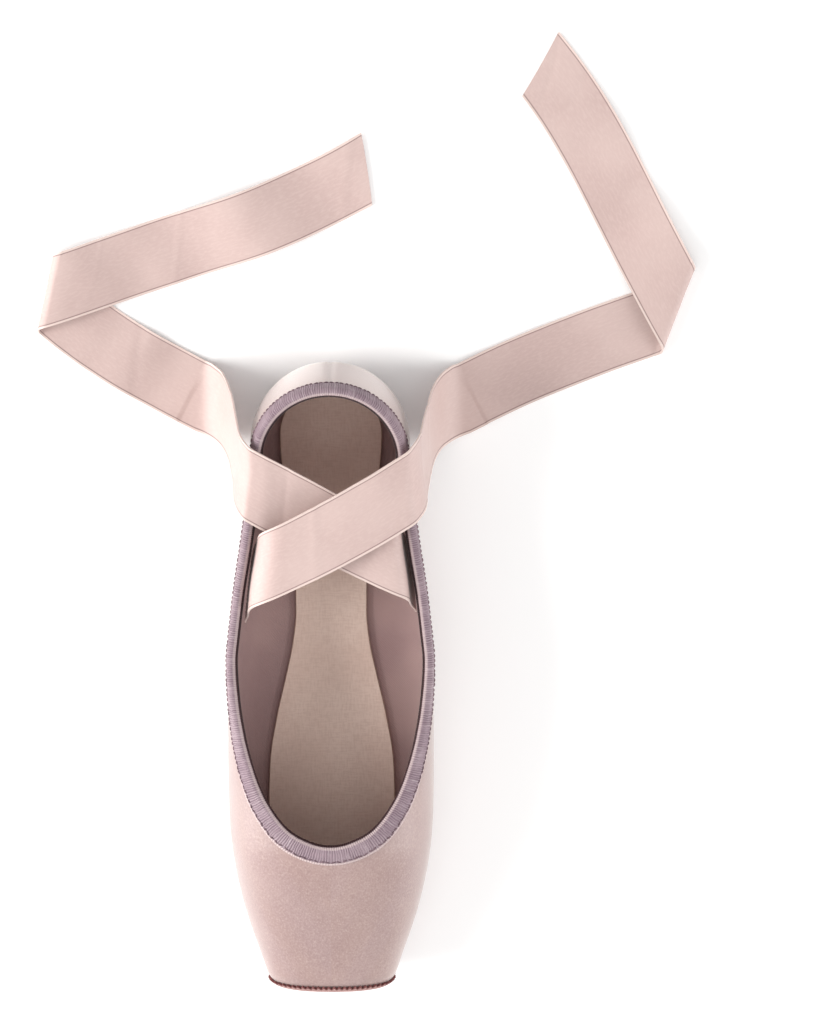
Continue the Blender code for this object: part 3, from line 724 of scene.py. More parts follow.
def satin_material():
    """Warm pink satin: stippled grain, soft lustre, and the stitched seams, with painted shade in
    the pleat troughs and darker towards the floor.
    """
    m = Nodes("satin_cloth")
    grain = m.noise(m.solid((1500, 1150, 1500)), 1.0, 3.0, 0.62)
    fine = m.noise(m.solid((3300, 2400, 3300)), 1.0, 2.0, 0.55)
    blotch = m.noise(m.solid(), 34.0, 4.0, 0.6)
    bolt = m.noise(m.uv((70, 9, 1)), 1.0, 2.0, 0.5)
    base = m.mix(m.span(blotch, 0.34, 0.66), rgb(0.320, 0.202, 0.188), rgb(0.372, 0.248, 0.226))
    base = m.mix(m.span(bolt, 0.40, 0.66, 0.0, 0.45), base, rgb(0.362, 0.248, 0.246))
    base = m.mix(m.span(grain, 0.48, 0.72, 0.0, 0.50), base, rgb(0.500, 0.372, 0.335))
    base = m.mix(m.span(grain, 0.50, 0.28, 0.0, 0.58), base, rgb(0.265, 0.160, 0.152))
    # Darker along the stitched seams; the same mask adds painted shade in the troughs of the
    # pleats under the toe.
    base = m.tint(base, m.attribute("seam"), 0.6, rgb(0.215, 0.120, 0.110))
    # Darker and browner towards the floor, below 9 mm.
    base = m.tint(base, m.attribute("soil"), 0.5, rgb(0.29, 0.205, 0.18))
    bump = m.bump(m.both(grain, 0.6, fine, 0.4), 0.22 * MM, 0.8)
    tangent = m.node("ShaderNodeTangent", direction_type="UV_MAP", uv_map="cloth")
    m.set(color=base, rough=m.span(grain, 0.3, 0.7, 0.34, 0.50), spec=0.75, sheen=0.88,
          sheen_rough=0.42, sheen_tint=rgb(1.0, 0.965, 0.940), aniso=0.4, tangent=tangent,
          coat=0.50, coat_rough=0.36, normal=bump)
    return m.mat


def lining_material():
    """Unbleached cotton drill with a fine diagonal."""
    m = Nodes("cotton_lining")
    twill = m.wave(m.uv((1, 1, 1)), 620.0, "DIAGONAL", 0.6)
    slub = m.noise(m.uv((300, 900, 1)), 1.0, 3.0, 0.6)
    cloud = m.noise(m.solid(), 30.0, 2.0)
    base = m.mix(m.span(cloud, 0.35, 0.65), rgb(0.345, 0.220, 0.218), rgb(0.430, 0.285, 0.272))
    base = m.tint(base, slub, 0.35, rgb(0.430, 0.310, 0.290))
    m.set(color=base, rough=0.9, spec=0.2, sheen=0.25, sheen_rough=0.6,
          normal=m.bump(m.both(twill, 0.6, slub, 0.4), 0.12 * MM, 0.7))
    return m.mat


def binding_material():
    """Mauve tape with fine uneven ribs across it, a painted highlight on the top of its fold and
    its outer margin, and painted shade on the inner side of the fold. U runs along the tape, V
    across.
    """
    m = Nodes("ribbed_tape")
    ribs = m.wave(m.uv((1, 1, 1)), 385.0, "X", 2.6)
    slubs = m.noise(m.uv((1500, 75, 1)), 1.0, 3.0, 0.65)
    crowd = m.noise(m.uv((190, 120, 1)), 1.0, 2.0, 0.5)
    cloud = m.noise(m.solid(), 60.0, 3.0)
    base = m.mix(m.span(cloud, 0.35, 0.65), rgb(0.285, 0.205, 0.238), rgb(0.350, 0.262, 0.293))
    dark = m.math("MULTIPLY", m.span(ribs, 0.60, 0.05), m.span(crowd, 0.34, 0.60, 0.25, 1.0))
    base = m.tint(base, dark, 0.85, rgb(0.150, 0.098, 0.125))
    base = m.mix(m.span(slubs, 0.50, 0.28, 0.0, 0.60), base, rgb(0.175, 0.115, 0.140))
    base = m.mix(m.span(slubs, 0.56, 0.76, 0.0, 0.80), base, rgb(0.500, 0.412, 0.436))
    # Painted highlight: paler on the top of the fold and on the margin outside the stitches.
    base = m.mix(m.attribute("lip"), base, rgb(0.540, 0.425, 0.420))
    # Painted shade: near-black on the inner side of the fold, and darker on the inner leg.
    base = m.mix(m.attribute("edge"), base, rgb(0.030, 0.007, 0.009))
    m.set(color=base, rough=0.62, spec=0.3, sheen=0.05, sheen_rough=0.5,
          normal=m.bump(m.both(ribs, 0.6, slubs, 0.4), 0.32 * MM, 0.9))
    return m.mat


def thread_material(name, dark, light):
    """Twisted thread between two colours."""
    m = Nodes(name)
    twist = m.wave(m.uv((1, 1, 1)), 900.0, "DIAGONAL", 0.3)
    cloud = m.noise(m.solid(), 160.0, 2.0)
    base = m.mix(m.span(cloud, 0.3, 0.7), dark, light)
    m.set(color=base, rough=0.55, spec=0.4, sheen=0.2, normal=m.bump(twist, 0.08 * MM, 0.7))
    return m.mat


def ribbon_material():
    """Peach satin ribbon with a bright selvage on each edge and a line of painted shade just
    inside each. V runs across, 0 to 1.
    """
    m = Nodes("satin_ribbon")
    coords = m.node("ShaderNodeTexCoord")
    split = m.node("ShaderNodeSeparateXYZ", {"Vector": coords.outputs["UV"]})
    v = split.outputs["Y"]
    across = m.math("ABSOLUTE", m.math("SUBTRACT", v, 0.5))
    selvage = m.span(across, 0.466, 0.474)
    valley_shade = m.math("MULTIPLY", m.span(across, 0.448, 0.462), m.math("SUBTRACT", 1.0, selvage))
    weft = m.noise(m.uv((3400, 12, 1)), 1.0, 2.0, 0.5)
    grain = m.noise(m.uv((420, 34, 1)), 1.0, 3.0, 0.6)
    cloud = m.noise(m.solid(), 32.0, 2.0)
    base = m.mix(m.span(cloud, 0.35, 0.65), rgb(0.535, 0.392, 0.366), rgb(0.580, 0.436, 0.406))
    base = m.mix(m.span(grain, 0.40, 0.70, 0.0, 0.35), base, rgb(0.660, 0.520, 0.485))
    # Painted shade: a dark line in the groove just inside each selvage.
    base = m.mix(valley_shade, base, rgb(0.30, 0.20, 0.19))
    base = m.mix(selvage, base, rgb(0.700, 0.560, 0.515))
    height = m.both(m.both(weft, 0.25, grain, 0.2), 1.0, selvage, 0.9)
    tangent = m.node("ShaderNodeTangent", direction_type="UV_MAP", uv_map="cloth")
    m.set(color=base, rough=0.50, spec=0.35, sheen=0.35, sheen_rough=0.35, aniso=0.4,
          sheen_tint=rgb(1.0, 0.95, 0.93), tangent=tangent, normal=m.bump(height, 0.16 * MM, 0.6))
    return m.mat


def suede_material():
    """Dusty rose suede, brushed and a little worn, darker at its cut edge."""
    m = Nodes("suede_nap")
    nap = m.noise(m.solid(), 2600.0, 3.0, 0.65)
    brushed = m.noise(m.solid((1, 1, 1.5)), 420.0, 4.0, 0.62)
    worn = m.noise(m.solid(), 70.0, 3.0, 0.6)
    base = m.mix(m.span(brushed, 0.3, 0.7), rgb(0.300, 0.150, 0.140), rgb(0.385, 0.214, 0.200))
    base = m.mix(m.span(worn, 0.50, 0.78, 0.0, 0.35), base, rgb(0.315, 0.185, 0.168))
    base = m.mix(m.attribute("edge"), base, rgb(0.170, 0.058, 0.056))
    bump = m.bump(m.both(nap, 0.6, brushed, 0.4), 0.35 * MM, 0.8)
    m.set(color=base, rough=0.95, spec=0.15, sheen=0.28, sheen_rough=0.5,
          sheen_tint=rgb(1.0, 0.78, 0.74), normal=bump)
    return m.mat


def leather_material():
    """Buff sole leather, rubbed darker where the shoe treads."""
    m = Nodes("sole_leather")
    pores = m.node("ShaderNodeTexVoronoi", {"Vector": m.solid(), "Scale": 1300.0})
    fibre = m.noise(m.solid((1, 0.25, 1)), 520.0, 4.0, 0.65)
    worn = m.noise(m.solid((1, 0.6, 1)), 120.0, 6.0, 0.68)
    base = m.mix(m.span(fibre, 0.3, 0.7), rgb(0.400, 0.265, 0.165), rgb(0.500, 0.350, 0.235))
    rubbed = m.math("MULTIPLY", m.attribute("tread"), m.span(worn, 0.40, 0.66))
    base = m.tint(base, rubbed, 0.55, rgb(0.30, 0.205, 0.145))
    base = m.mix(m.attribute("edge"), base, rgb(0.27, 0.150, 0.080))
    m.set(color=base, rough=m.span(worn, 0.35, 0.7, 0.48, 0.72), spec=0.4,
          normal=m.bump(m.both(pores, 0.5, fibre, 0.5), 0.18 * MM, 0.8))
    return m.mat


def insole_material():
    """Cotton cover over the board, with the weave of plain canvas."""
    m = Nodes("insole_cover")
    warp = m.noise(m.uv((1500, 260, 1)), 1.0, 2.0, 0.6)
    weft = m.noise(m.uv((260, 1500, 1)), 1.0, 2.0, 0.6)
    cloud = m.noise(m.solid(), 28.0, 4.0, 0.6)
    base = m.mix(m.span(cloud, 0.35, 0.68), rgb(0.800, 0.620, 0.530), rgb(0.860, 0.690, 0.595))
    base = m.mix(m.attribute("edge"), base, rgb(0.33, 0.22, 0.17))
    height = m.math("MULTIPLY", m.math("ADD", warp, weft), 0.5)
    base = m.mix(m.span(height, 0.36, 0.60, 0.45, 0.0), base, rgb(0.660, 0.485, 0.400))
    m.set(color=base, rough=0.88, spec=0.2, sheen=0.2, normal=m.bump(height, 0.22 * MM, 0.7))
    return m.mat


# Meshes

class Build:
    """Collects one mesh: points with UVs and values, and faces with material slots."""

    def __init__(self, *values):
        self.points = []
        self.uvs = []
        self.values = {name: [] for name in values}
        self.faces = []
        self.slots = []
        self.count = 0

    def add(self, points, uvs, **values):
        """Adds points, and returns the number of the first."""
        first = self.count
        self.points.append(points)
        self.uvs.append(uvs)
        for name, kept in self.values.items():
            kept.append(np.broadcast_to(np.ravel(values.get(name, 0.0)), len(points)))
        self.count += len(points)
        return first

    def face(self, corners, turn=False, slot=0):
        corners = np.asarray(corners)
        self.faces += (corners[:, ::-1] if turn else corners).tolist()
        self.slots += [slot] * len(corners)

    def cap(self, base, width, turn=False):
        """Closes an end ring whose second half runs back under the first."""
        near = base + np.arange(width // 2 - 1)
        far = base + width - 1 - np.arange(width // 2 - 1)
        self.face(np.stack([near, near + 1, far - 1, far], -1), turn)

    def finish(self, name, mats, doubles=0.01 * MM, angle=None):
        """Makes the object: doubled points joined, faces turned out, shaded smooth."""
        mesh = bpy.data.meshes.new(name)
        mesh.from_pydata(place(np.vstack(self.points)).tolist(), [], self.faces)
        for mat in mats:
            mesh.materials.append(mat)
        loops = np.empty(len(mesh.loops), np.int32)
        mesh.loops.foreach_get("vertex_index", loops)
        layer = mesh.uv_layers.new(name="cloth")
        layer.data.foreach_set("uv", np.vstack(self.uvs).astype(np.float32)[loops].ravel())
        for key, kept in self.values.items():
            data = mesh.attributes.new(key, "FLOAT", "POINT")
            data.data.foreach_set("value", np.concatenate(kept).astype(np.float32))
        mesh.polygons.foreach_set("material_index", np.array(self.slots, np.int32))
        mesh.update()
        work = bmesh.new()
        work.from_mesh(mesh)
        if doubles:
            bmesh.ops.remove_doubles(work, verts=work.verts, dist=doubles)
        bmesh.ops.recalc_face_normals(work, faces=work.faces)
        work.to_mesh(mesh)
        work.free()
        mesh.shade_smooth()
        if angle:
            mesh.set_sharp_from_angle(angle=math.radians(angle))
        obj = bpy.data.objects.new(name, mesh)
        bpy.context.scene.collection.objects.link(obj)
        return obj


def lattice(rows, columns, start=0, closed=False):
    """Quads of a grid, as an array."""
    i = np.arange(rows - 1)[:, None]
    j = np.arange(columns if closed else columns - 1)[None, :]
    a = start + i * columns + j
    b = start + i * columns + (j + 1) % columns
    return np.stack([a, b, b + columns, a + columns], -1).reshape(-1, 4)


def grid_normals(grid):
    """Unit normals of a grid of points."""
    du = np.gradient(grid, axis=0)
    dv = np.gradient(grid, axis=1)
    return unit(np.cross(du, dv))


def upper_half(front_count, collar_count, low_rows, top_rows):
    """Fine half of the outside, with its station and its collar-ward share."""
    stations = sorted(zip(*rim(9)))
    front = np.linspace(RIM_RADIUS, OPENING_FRONT, front_count)[1:]
    bend = OPENING_FRONT + (VAMP_LENGTH - OPENING_FRONT) * np.linspace(0, 1, 9)[1:-1] ** 1.5
    along, line = collar_line()
    run = run_along(line)
    back = np.interp(np.linspace(0, run[-1], collar_count), run, along)
    back[0] = VAMP_LENGTH
    back[-1] = LENGTH
    stations += [(a, 0.0) for a in [*front, *bend, *back]]
    rows = []
    kept = []
    for along, inset in stations:
        top = float(collar_angle(along))
        low = np.linspace(-math.pi / 2, 0, low_rows)
        high = np.linspace(0, top, top_rows)[1:]
        points = front_section(along, inset, np.concatenate([low, high]))
        f = float(flat(along))
        start = float(opening(along)) / f
        share = start + (1 - start) * np.linspace(0, 1, 6)[:-1]
        sole = spot(along, f * share, points[0][2])
        if inset > 0:
            sole[:, 0] *= 1 - inset / half_width(along)
        row = np.vstack([sole, points])
        if along <= OPENING_FRONT:
            row[0, 0] = 0
        if along <= VAMP_LENGTH:
            row[-1, 0] = 0
        if along >= LENGTH - 1e-9:
            row[:, 0] = 0
        rows.append(row)
        kept.append(along)
    return np.array(rows), np.array(kept)


def seam_line(points):
    """How near each point is to the back and side seams, 0 to 1."""
    x = np.abs(points[..., 0])
    y = points[..., 1]
    z = points[..., 2]
    back = bell(x, 0, SEAM_WIDTH) * (y > LENGTH - 20 * MM) * (z > 3 * MM)
    side = SIDE_SEAM + 0.16 * (z - 20 * MM)
    sides = bell(y, side, SEAM_WIDTH) * (z > 3.2 * MM) * (x > 12 * MM)
    return np.maximum(back, sides)


def relief(points, side):
    """Height of the cloth over the smooth form: pleats, drag lines, lumps and seams."""
    x = points[..., 0] * side
    y = points[..., 1]
    z = points[..., 2]
    # pleats gathered under the toe towards the tip of the sole
    behind = y - PLEAT_CENTRE
    turn = np.arctan2(x, -behind)
    reach = np.hypot(x, behind)
    under = ease(11 * MM, 5 * MM, z) * ease(8 * MM, 16 * MM, reach)
    under = under * ease(PLEAT_BACK, 40 * MM, y) * ease(3 * MM, 9 * MM, y)
    wobble = 0.35 * hash_noise(x / (9 * MM), y / (9 * MM), 0.0, 3)
    fold = np.cos((turn + wobble * 0.10) * PLEATS)
    pleat = (np.abs(fold) ** 0.6 * np.sign(fold)) * PLEAT_HEIGHT * under
    # soft drag lines over the waist and the heel
    slack = ease(95 * MM, 130 * MM, y) * ease(225 * MM, 190 * MM, y)
    slack = slack * ease(4 * MM, 12 * MM, z)
    drag = hash_noise((y + 0.8 * z) / (13 * MM), (z - 0.3 * y) / (46 * MM), x / (60 * MM), 7)
    small = hash_noise((y - 0.5 * z) / (7 * MM), z / (24 * MM), x / (60 * MM), 11)
    cloth = (0.30 * drag + 0.12 * small) * MM * slack
    # faint unevenness of the paste-stiffened box
    box = ease(110 * MM, 70 * MM, y)
    lump = hash_noise(x / (17 * MM), y / (23 * MM), z / (17 * MM), 5)
    cloth = cloth + 0.13 * lump * MM * box * ease(2 * MM, 14 * MM, z)
    return pleat + cloth - SEAM_DEPTH * seam_line(points)


def make_upper():
    """Satin outside and lining inside as one hollow body, half by half."""
    grid, places = upper_half(52, 150, LOW_ROWS, 40)
    rows, columns = grid.shape[:2]
    normals = grid_normals(grid)
    if normals[rows // 2, columns // 2, 0] < 0:
        normals = -normals
    step_v = np.linalg.norm(np.diff(grid, axis=1), axis=2)
    v = np.concatenate([np.zeros((rows, 1)), np.cumsum(step_v, axis=1)], axis=1)
    v = v - v[:, LOW_ROWS + 4:LOW_ROWS + 5]
    u = np.repeat(places[:, None], columns, axis=1)
    on_middle = grid[..., 0] < 1e-9
    build = Build("seam", "soil")
    for side in (1, -1):
        n = normals.copy()
        n[on_middle, 0] = 0
        n = unit(n)
        high = relief(grid, side)
        outer = grid + n * high[..., None]
        inner = grid - n * wall(places)[:, None, None]
        inner[..., 1] = np.maximum(inner[..., 1], BOX_INSIDE * (places < 9 * MM)[:, None])
        # Painted shade: the troughs of the pleats under the toe are darkened along with the seams.
        valley_shade = 0.6 * ease(-0.15 * MM, -0.6 * MM, high) * (grid[..., 1] < PLEAT_BACK)
        uvs = np.stack([v.ravel() * side, u.ravel()], -1)
        # The outside is darkened towards the floor, below 9 mm.
        satin = build.add(outer.reshape(-1, 3) * (side, 1, 1), uvs,
                          seam=np.maximum(seam_line(grid), valley_shade),
                          soil=ease(9 * MM, 3 * MM, grid[..., 2]) * 0.8)
        build.face(lattice(rows, columns, satin), side < 0)
        lining = build.add(inner.reshape(-1, 3) * (side, 1, 1), uvs)
        build.face(lattice(rows, columns, lining), side > 0, 1)
        # rims along the collar and round the opening under the foot
        i = np.arange(np.searchsorted(places, VAMP_LENGTH - 1e-9), rows - 1)
        a = satin + i * columns + columns - 1
        b = lining + i * columns + columns - 1
        build.face(np.stack([a, b, b + columns, a + columns], -1), side < 0)
        i = np.arange(np.searchsorted(places, OPENING_FRONT - 1e-9), rows - 1)
        a = satin + i * columns
        b = lining + i * columns
        build.face(np.stack([a, a + columns, b + columns, b], -1), side < 0)
        add_platform(build, outer[0] * (side, 1, 1), satin, side < 0, 0)
        add_platform(build, inner[0] * (side, 1, 1), lining, side > 0, 1)
    return build.finish("upper_satin", [SATIN, LINING])


def add_platform(build, ring, start, turn, slot):
    """Closes the flat platform inside its outline, in four steps."""
    middle = np.array([0, ring[:, 1].mean(), (underside(0.0) + crown(0.0)) / 2])
    rings = [middle + (ring - middle) * share for share in (0.75, 0.5, 0.25)]
    points = np.vstack([*rings, middle[None]])
    base = build.add(points, points[:, [0, 2]])
    j = np.arange(len(ring) - 1)
    for k in range(len(rings)):
        here = base + k * len(ring)
        build.face(np.stack([start + j, start + j + 1, here + j + 1, here + j], -1), turn, slot)
        start = here
    hub = np.full(len(j), base + len(rings) * len(ring))
    build.face(np.stack([start + j, start + j + 1, hub], -1), turn, slot)


def collar_frame(count):
    """Evenly spaced points of the collar edge, with the ways down and outward there."""
    _, line = collar_line()
    run = run_along(line)
    where = np.linspace(0, run[-1], count)
    at = np.interp(where, run, np.arange(len(line)))
    index = np.arange(len(line))

    def read(p):
        return np.stack([np.interp(p, index, line[:, k]) for k in range(3)], -1)

    edge = onto_skin(read(at))
    run_way = read(at + 4) - read(at - 4)
    run_way[0] = (1, 0, 0)
    run_way[-1] = (-1, 0, 0)
    edge[[0, -1], 0] = 0
    out = outward(edge)
    down = unit(np.cross(unit(run_way), out))
    return where, edge, down, out


def off_collar(ways, below, off):
    """Points a way below the edge and a way off the skin, one per station."""
    _, edge, down, out = ways
    below = np.broadcast_to(np.asarray(below, float), len(edge))
    off = np.broadcast_to(np.asarray(off, float), len(edge))
    foot = onto_skin(edge + down * np.maximum(below, 0)[:, None])
    normal = outward(foot)
    lower = foot + normal * off[:, None]
    upper = edge + down * below[:, None] + out * off[:, None]
    point = np.where(below[:, None] > 0, lower, upper)
    point[:, 0] *= edge[:, 0] > 0
    return point


def make_binding():
    """The tape, folded over the edge, with slight gathers along its outer edge."""
    half = collar_frame(300)
    where = half[0]
    t = BINDING_THICKNESS
    w = QUARTER_WALL + 2 * BINDING_SLACK
    g = GAP
    arch = w / 2 + g + t
    mid = -w / 2
    leg = TAPE_EDGE
    # below the edge, off the skin, kind. m: margin outside the stitches, o: outer leg,
    # t: turn over the edge, i: inner leg and the faces against the shoe
    profile = [(leg, g * 0.6, "m"), (leg - 0.08 * MM, g + t * 0.45, "m")]
    profile += [(leg - 0.45 * MM, g + t * 0.62, "m"), (leg - 0.85 * MM, g + t * 0.7, "m")]
    profile += [(leg - 1.0 * MM, g + t * 0.8, "o")]
    for share in (0.7, 0.55, 0.4, 0.25, 0.12):
        profile.append((BINDING_OUTER_LEG * share, g + t, "o"))
    for turn in np.linspace(0, math.pi, 21):
        profile.append((TAPE_DROP - arch * math.sin(turn), mid + arch * math.cos(turn), "t"))
    for share in (0.35, 0.7, 0.97):
        profile.append((BINDING_INNER_LEG * share, -w - g - t, "i"))
    profile.append((BINDING_INNER_LEG, -w - g - 0.1 * MM, "i"))
    profile.append((BINDING_INNER_LEG * 0.5, -w - g, "i"))
    profile.append((0.0, -w - g, "i"))
    profile.append((-g, mid, "i"))
    profile.append((0.0, g, "i"))
    profile.append((BINDING_OUTER_LEG * 0.5, g, "i"))
    gather = 0.07 * MM * np.sin(2 * math.pi * where / (2.9 * MM) + 1.2 * np.sin(where / (7 * MM)))
    rings = []
    for below, off, kind in profile:
        lift = gather * ease(1.5 * MM, BINDING_OUTER_LEG, below) if kind == "o" else 0
        rings.append(off_collar(half, below, off + lift))
    section = np.stack(rings, 1)
    length = 2 * where[-1]
    grid = np.concatenate([section, section[1:-1][::-1] * (-1, 1, 1), section[:1]])
    u = np.concatenate([where, length - where[1:-1][::-1], [length]])
    path = run_along(np.array([p[:2] for p in profile]))
    uvs = np.stack(np.broadcast_arrays(u[:, None], path[None, :]), -1).reshape(-1, 2)
    inward = unit(np.gradient(half[1][:, :2], axis=0)[:, ::-1] * (-1, 1))
    place_in = np.einsum("ijk,ik->ij", section[..., :2], inward)
    kinds = np.array([kind for _, _, kind in profile])
    arc = kinds == "t"
    crest = np.where(arc, place_in, -1).argmax(axis=1)[:, None]
    from_crest = place_in.max(axis=1, where=arc, initial=-1)[:, None] - place_in
    k = np.arange(len(profile))[None, :]
    # Painted shade: the inner side of the fold turns near-black, and the inner leg darker.
    dark = np.where(k > crest, 1.0, ease(0.62 * MM, 0.40 * MM, from_crest)) * arc
    inside = [kind == "i" and off < -w and below < 2 * MM for below, off, kind in profile]
    dark[:, np.array(inside)] = 0.35
    # Painted highlight: the top of the fold and the margin outside the stitches are paler.
    pale = ease(1.7 * MM, 1.2 * MM, from_crest) * (1 - dark) * arc * (k <= crest)
    margin = np.broadcast_to(kinds == "m", dark.shape) * 1.0

    def all_round(layer):
        return np.concatenate([layer, layer[1:-1][::-1], layer[:1]])

    build = Build("edge", "lip")
    build.add(grid.reshape(-1, 3), uvs, edge=all_round(dark),
              lip=all_round(np.maximum(0.7 * pale, margin)))
    build.face(lattice(len(grid), len(profile), closed=True))
    return build.finish("collar_tape", [BINDING])


def tube(points, radius, sides):
    """Rings of a round thread along points."""
    ends = np.vstack([points[:1], points, points[-1:]])
    run = unit(ends[2:] - ends[:-2])
    up = np.where(np.abs(run[:, 2:]) > 0.9, (0.0, 1.0, 0.0), (0.0, 0.0, 1.0))
    side = unit(np.cross(run, up))
    lift = np.cross(side, run)
    turn = np.linspace(0, 2 * math.pi, sides, endpoint=False)[None, :, None]
    way = side[:, None] * np.cos(turn) + lift[:, None] * np.sin(turn)
    return points[:, None] + radius[:, None, None] * way


def make_threads(name, strands, radius, mat, sides=6):
    """Several threads as one piece, each thinner and closed at its ends."""
    radii = radius if isinstance(radius, list) else [radius] * len(strands)
    build = Build()
    for strand, thick in zip(strands, radii):
        size = np.array(np.broadcast_to(thick, len(strand)), float)
        size[[0, -1]] *= 0.45
        turn = np.linspace(0, 2 * math.pi * size.mean(), sides, endpoint=False)
        uvs = np.stack(np.broadcast_arrays(run_along(strand)[:, None], turn[None]), -1)
        start = build.add(tube(strand, size, sides).reshape(-1, 3), uvs.reshape(-1, 2))
        build.face(lattice(len(strand), sides, start, closed=True))
        end = start + (len(strand) - 1) * sides
        build.face([start + np.arange(sides), end + np.arange(sides)[::-1]])
    return build.finish(name, [mat], doubles=0)


def make_edge_chain():
    """The dark uneven row of short stitches that fixes the outer edge of the tape."""
    half = collar_frame(2600)
    where = half[0]
    drift = 0.20 * MM * hash_noise(where / (5.0 * MM), 0.0, 0.0, 29)
    drift = drift + 0.10 * MM * hash_noise(where / (1.7 * MM), 0.0, 0.0, 31)
    middle = BINDING_OUTER_LEG - 0.85 * MM + drift
    strands = []
    radii = []
    for k in range(int(where[-1] / STITCH_PITCH)):
        wobble = hash_noise(float(k), 0.5, 0.5, 43) * 0.22
        first = (k + 0.5 * wobble) * STITCH_PITCH
        length = (0.98 + 0.22 * hash_noise(float(k), 1.5, 0.5, 47)) * STITCH_PITCH
        thick = (0.34 + 0.08 * hash_noise(float(k), 2.5, 0.5, 53)) * MM
        a, b = np.searchsorted(where, (first, first + length))
        if b - a < 5 or b >= len(where):
            continue
        t = np.linspace(0, 1, b - a)
        lean = STITCH_LEAN * (1 if k % 2 else -1)
        below = middle[a:b] + lean * (t - 0.5) + 0.10 * MM * wobble
        off = GAP + BINDING_THICKNESS * 0.80 + 0.12 * MM * np.sin(math.pi * t)
        size = thick * np.sin(math.pi * (0.12 + 0.76 * t))
        points = off_collar([item[a:b] for item in half], below, off)
        if k == 0:
            points[0, 0] = 0.1 * MM
        for side in (1, -1):
            strands.append(points[::3] * (side, 1, 1))
            radii.append(size[::3])
    return make_threads("tape_stitches", strands, radii, THREAD_DARK)


def make_edge_cord():
    """The fine dark line along the inner edge of the collar: a thin cord, its near-black colour
    painted shade.
    """
    inside = -QUARTER_WALL - 2 * BINDING_SLACK - GAP - BINDING_THICKNESS - 0.10 * MM
    points = off_collar(collar_frame(420), TAPE_DROP, inside)
    return make_threads("collar_inner_shade_line", [points, points * (-1, 1, 1)], 0.30 * MM, THREAD_SHADE)


def make_patch():
    """Suede tip with a pinked edge, turned back over the rim."""
    count = 24
    columns = 150
    turns = np.linspace(-math.pi / 2, math.pi / 2, columns)
    run = run_along(front_section(0.0, 0.0, turns))
    even = np.interp(np.linspace(0, run[-1], columns), run, turns)
    teeth = round(run[-1] / TOOTH_PITCH)
    tooth = np.abs((np.linspace(0, teeth, columns) % 1) - 0.5) * 2
    reach = 0.74 - 0.16 * tooth
    grid = np.zeros((count, columns, 3))
    for k in range(count):
        share = k / (count - 1) * reach
        turn = (1 - share) * math.pi / 2
        along = RIM_RADIUS * (1 - np.cos(math.pi / 2 - turn))
        inset = RIM_RADIUS * (1 - np.cos(turn))
        for j in range(columns):
            grid[k, j] = front_section(float(along[j]), float(inset[j]), even[j:j + 1])[0]
    grid[:, [0, -1], 0] = 0
    n = grid_normals(grid)
    middle = np.array([0, 0, (underside(0.0) + crown(0.0)) / 2])
    if np.mean(np.sum(n[-1] * (grid[-1] - middle), -1)) < 0:
        n = -n
    n[:, [0, -1], 0] = 0
    face = np.array([middle + (grid[0] - middle) * s for s in (0.12, 0.35, 0.6, 0.82)])
    ahead = np.broadcast_to((0.0, -1.0, 0.0), face.shape)
    full = np.concatenate([face, grid])
    full_n = np.concatenate([ahead, unit(n)])
    full[:, [0, -1], 0] = 0
    rows = len(full)
    high = 0.06 * MM * hash_noise(full[..., 0] / (5 * MM), 0.0, full[..., 2] / (5 * MM), 23)
    edge = np.zeros((rows, columns))
    edge[-2:] = 1
    thick = (GAP + PATCH_THICKNESS + high)[..., None]
    j = np.arange(columns - 1)
    build = Build("edge")
    for side in (1, -1):
        starts = []
        for surface, turn in ((full + full_n * thick, side > 0), (full + full_n * GAP, side < 0)):
            points = surface.reshape(-1, 3)
            start = build.add(points * (side, 1, 1), points[:, [0, 2]], edge=edge)
            build.face(lattice(rows, columns, start), turn)
            starts.append(start)
        a, b = [start + (rows - 1) * columns + j for start in starts]
        build.face(np.stack([a, a + 1, b + 1, b], -1), side < 0)
        depths = (GAP + PATCH_THICKNESS, GAP)
        for start, depth, turn in zip(starts, depths, (side > 0, side < 0)):
            hub = build.add(np.array([[0, -depth, middle[2]]]), [[0, middle[2]]])
            build.face(np.stack([start + j, start + j + 1, np.full(len(j), hub)], -1), turn)
    return build.finish("platform_suede", [SUEDE], angle=60)


# Faces of a plate
BOTTOM = 0
EDGE = 1
TOP = 2


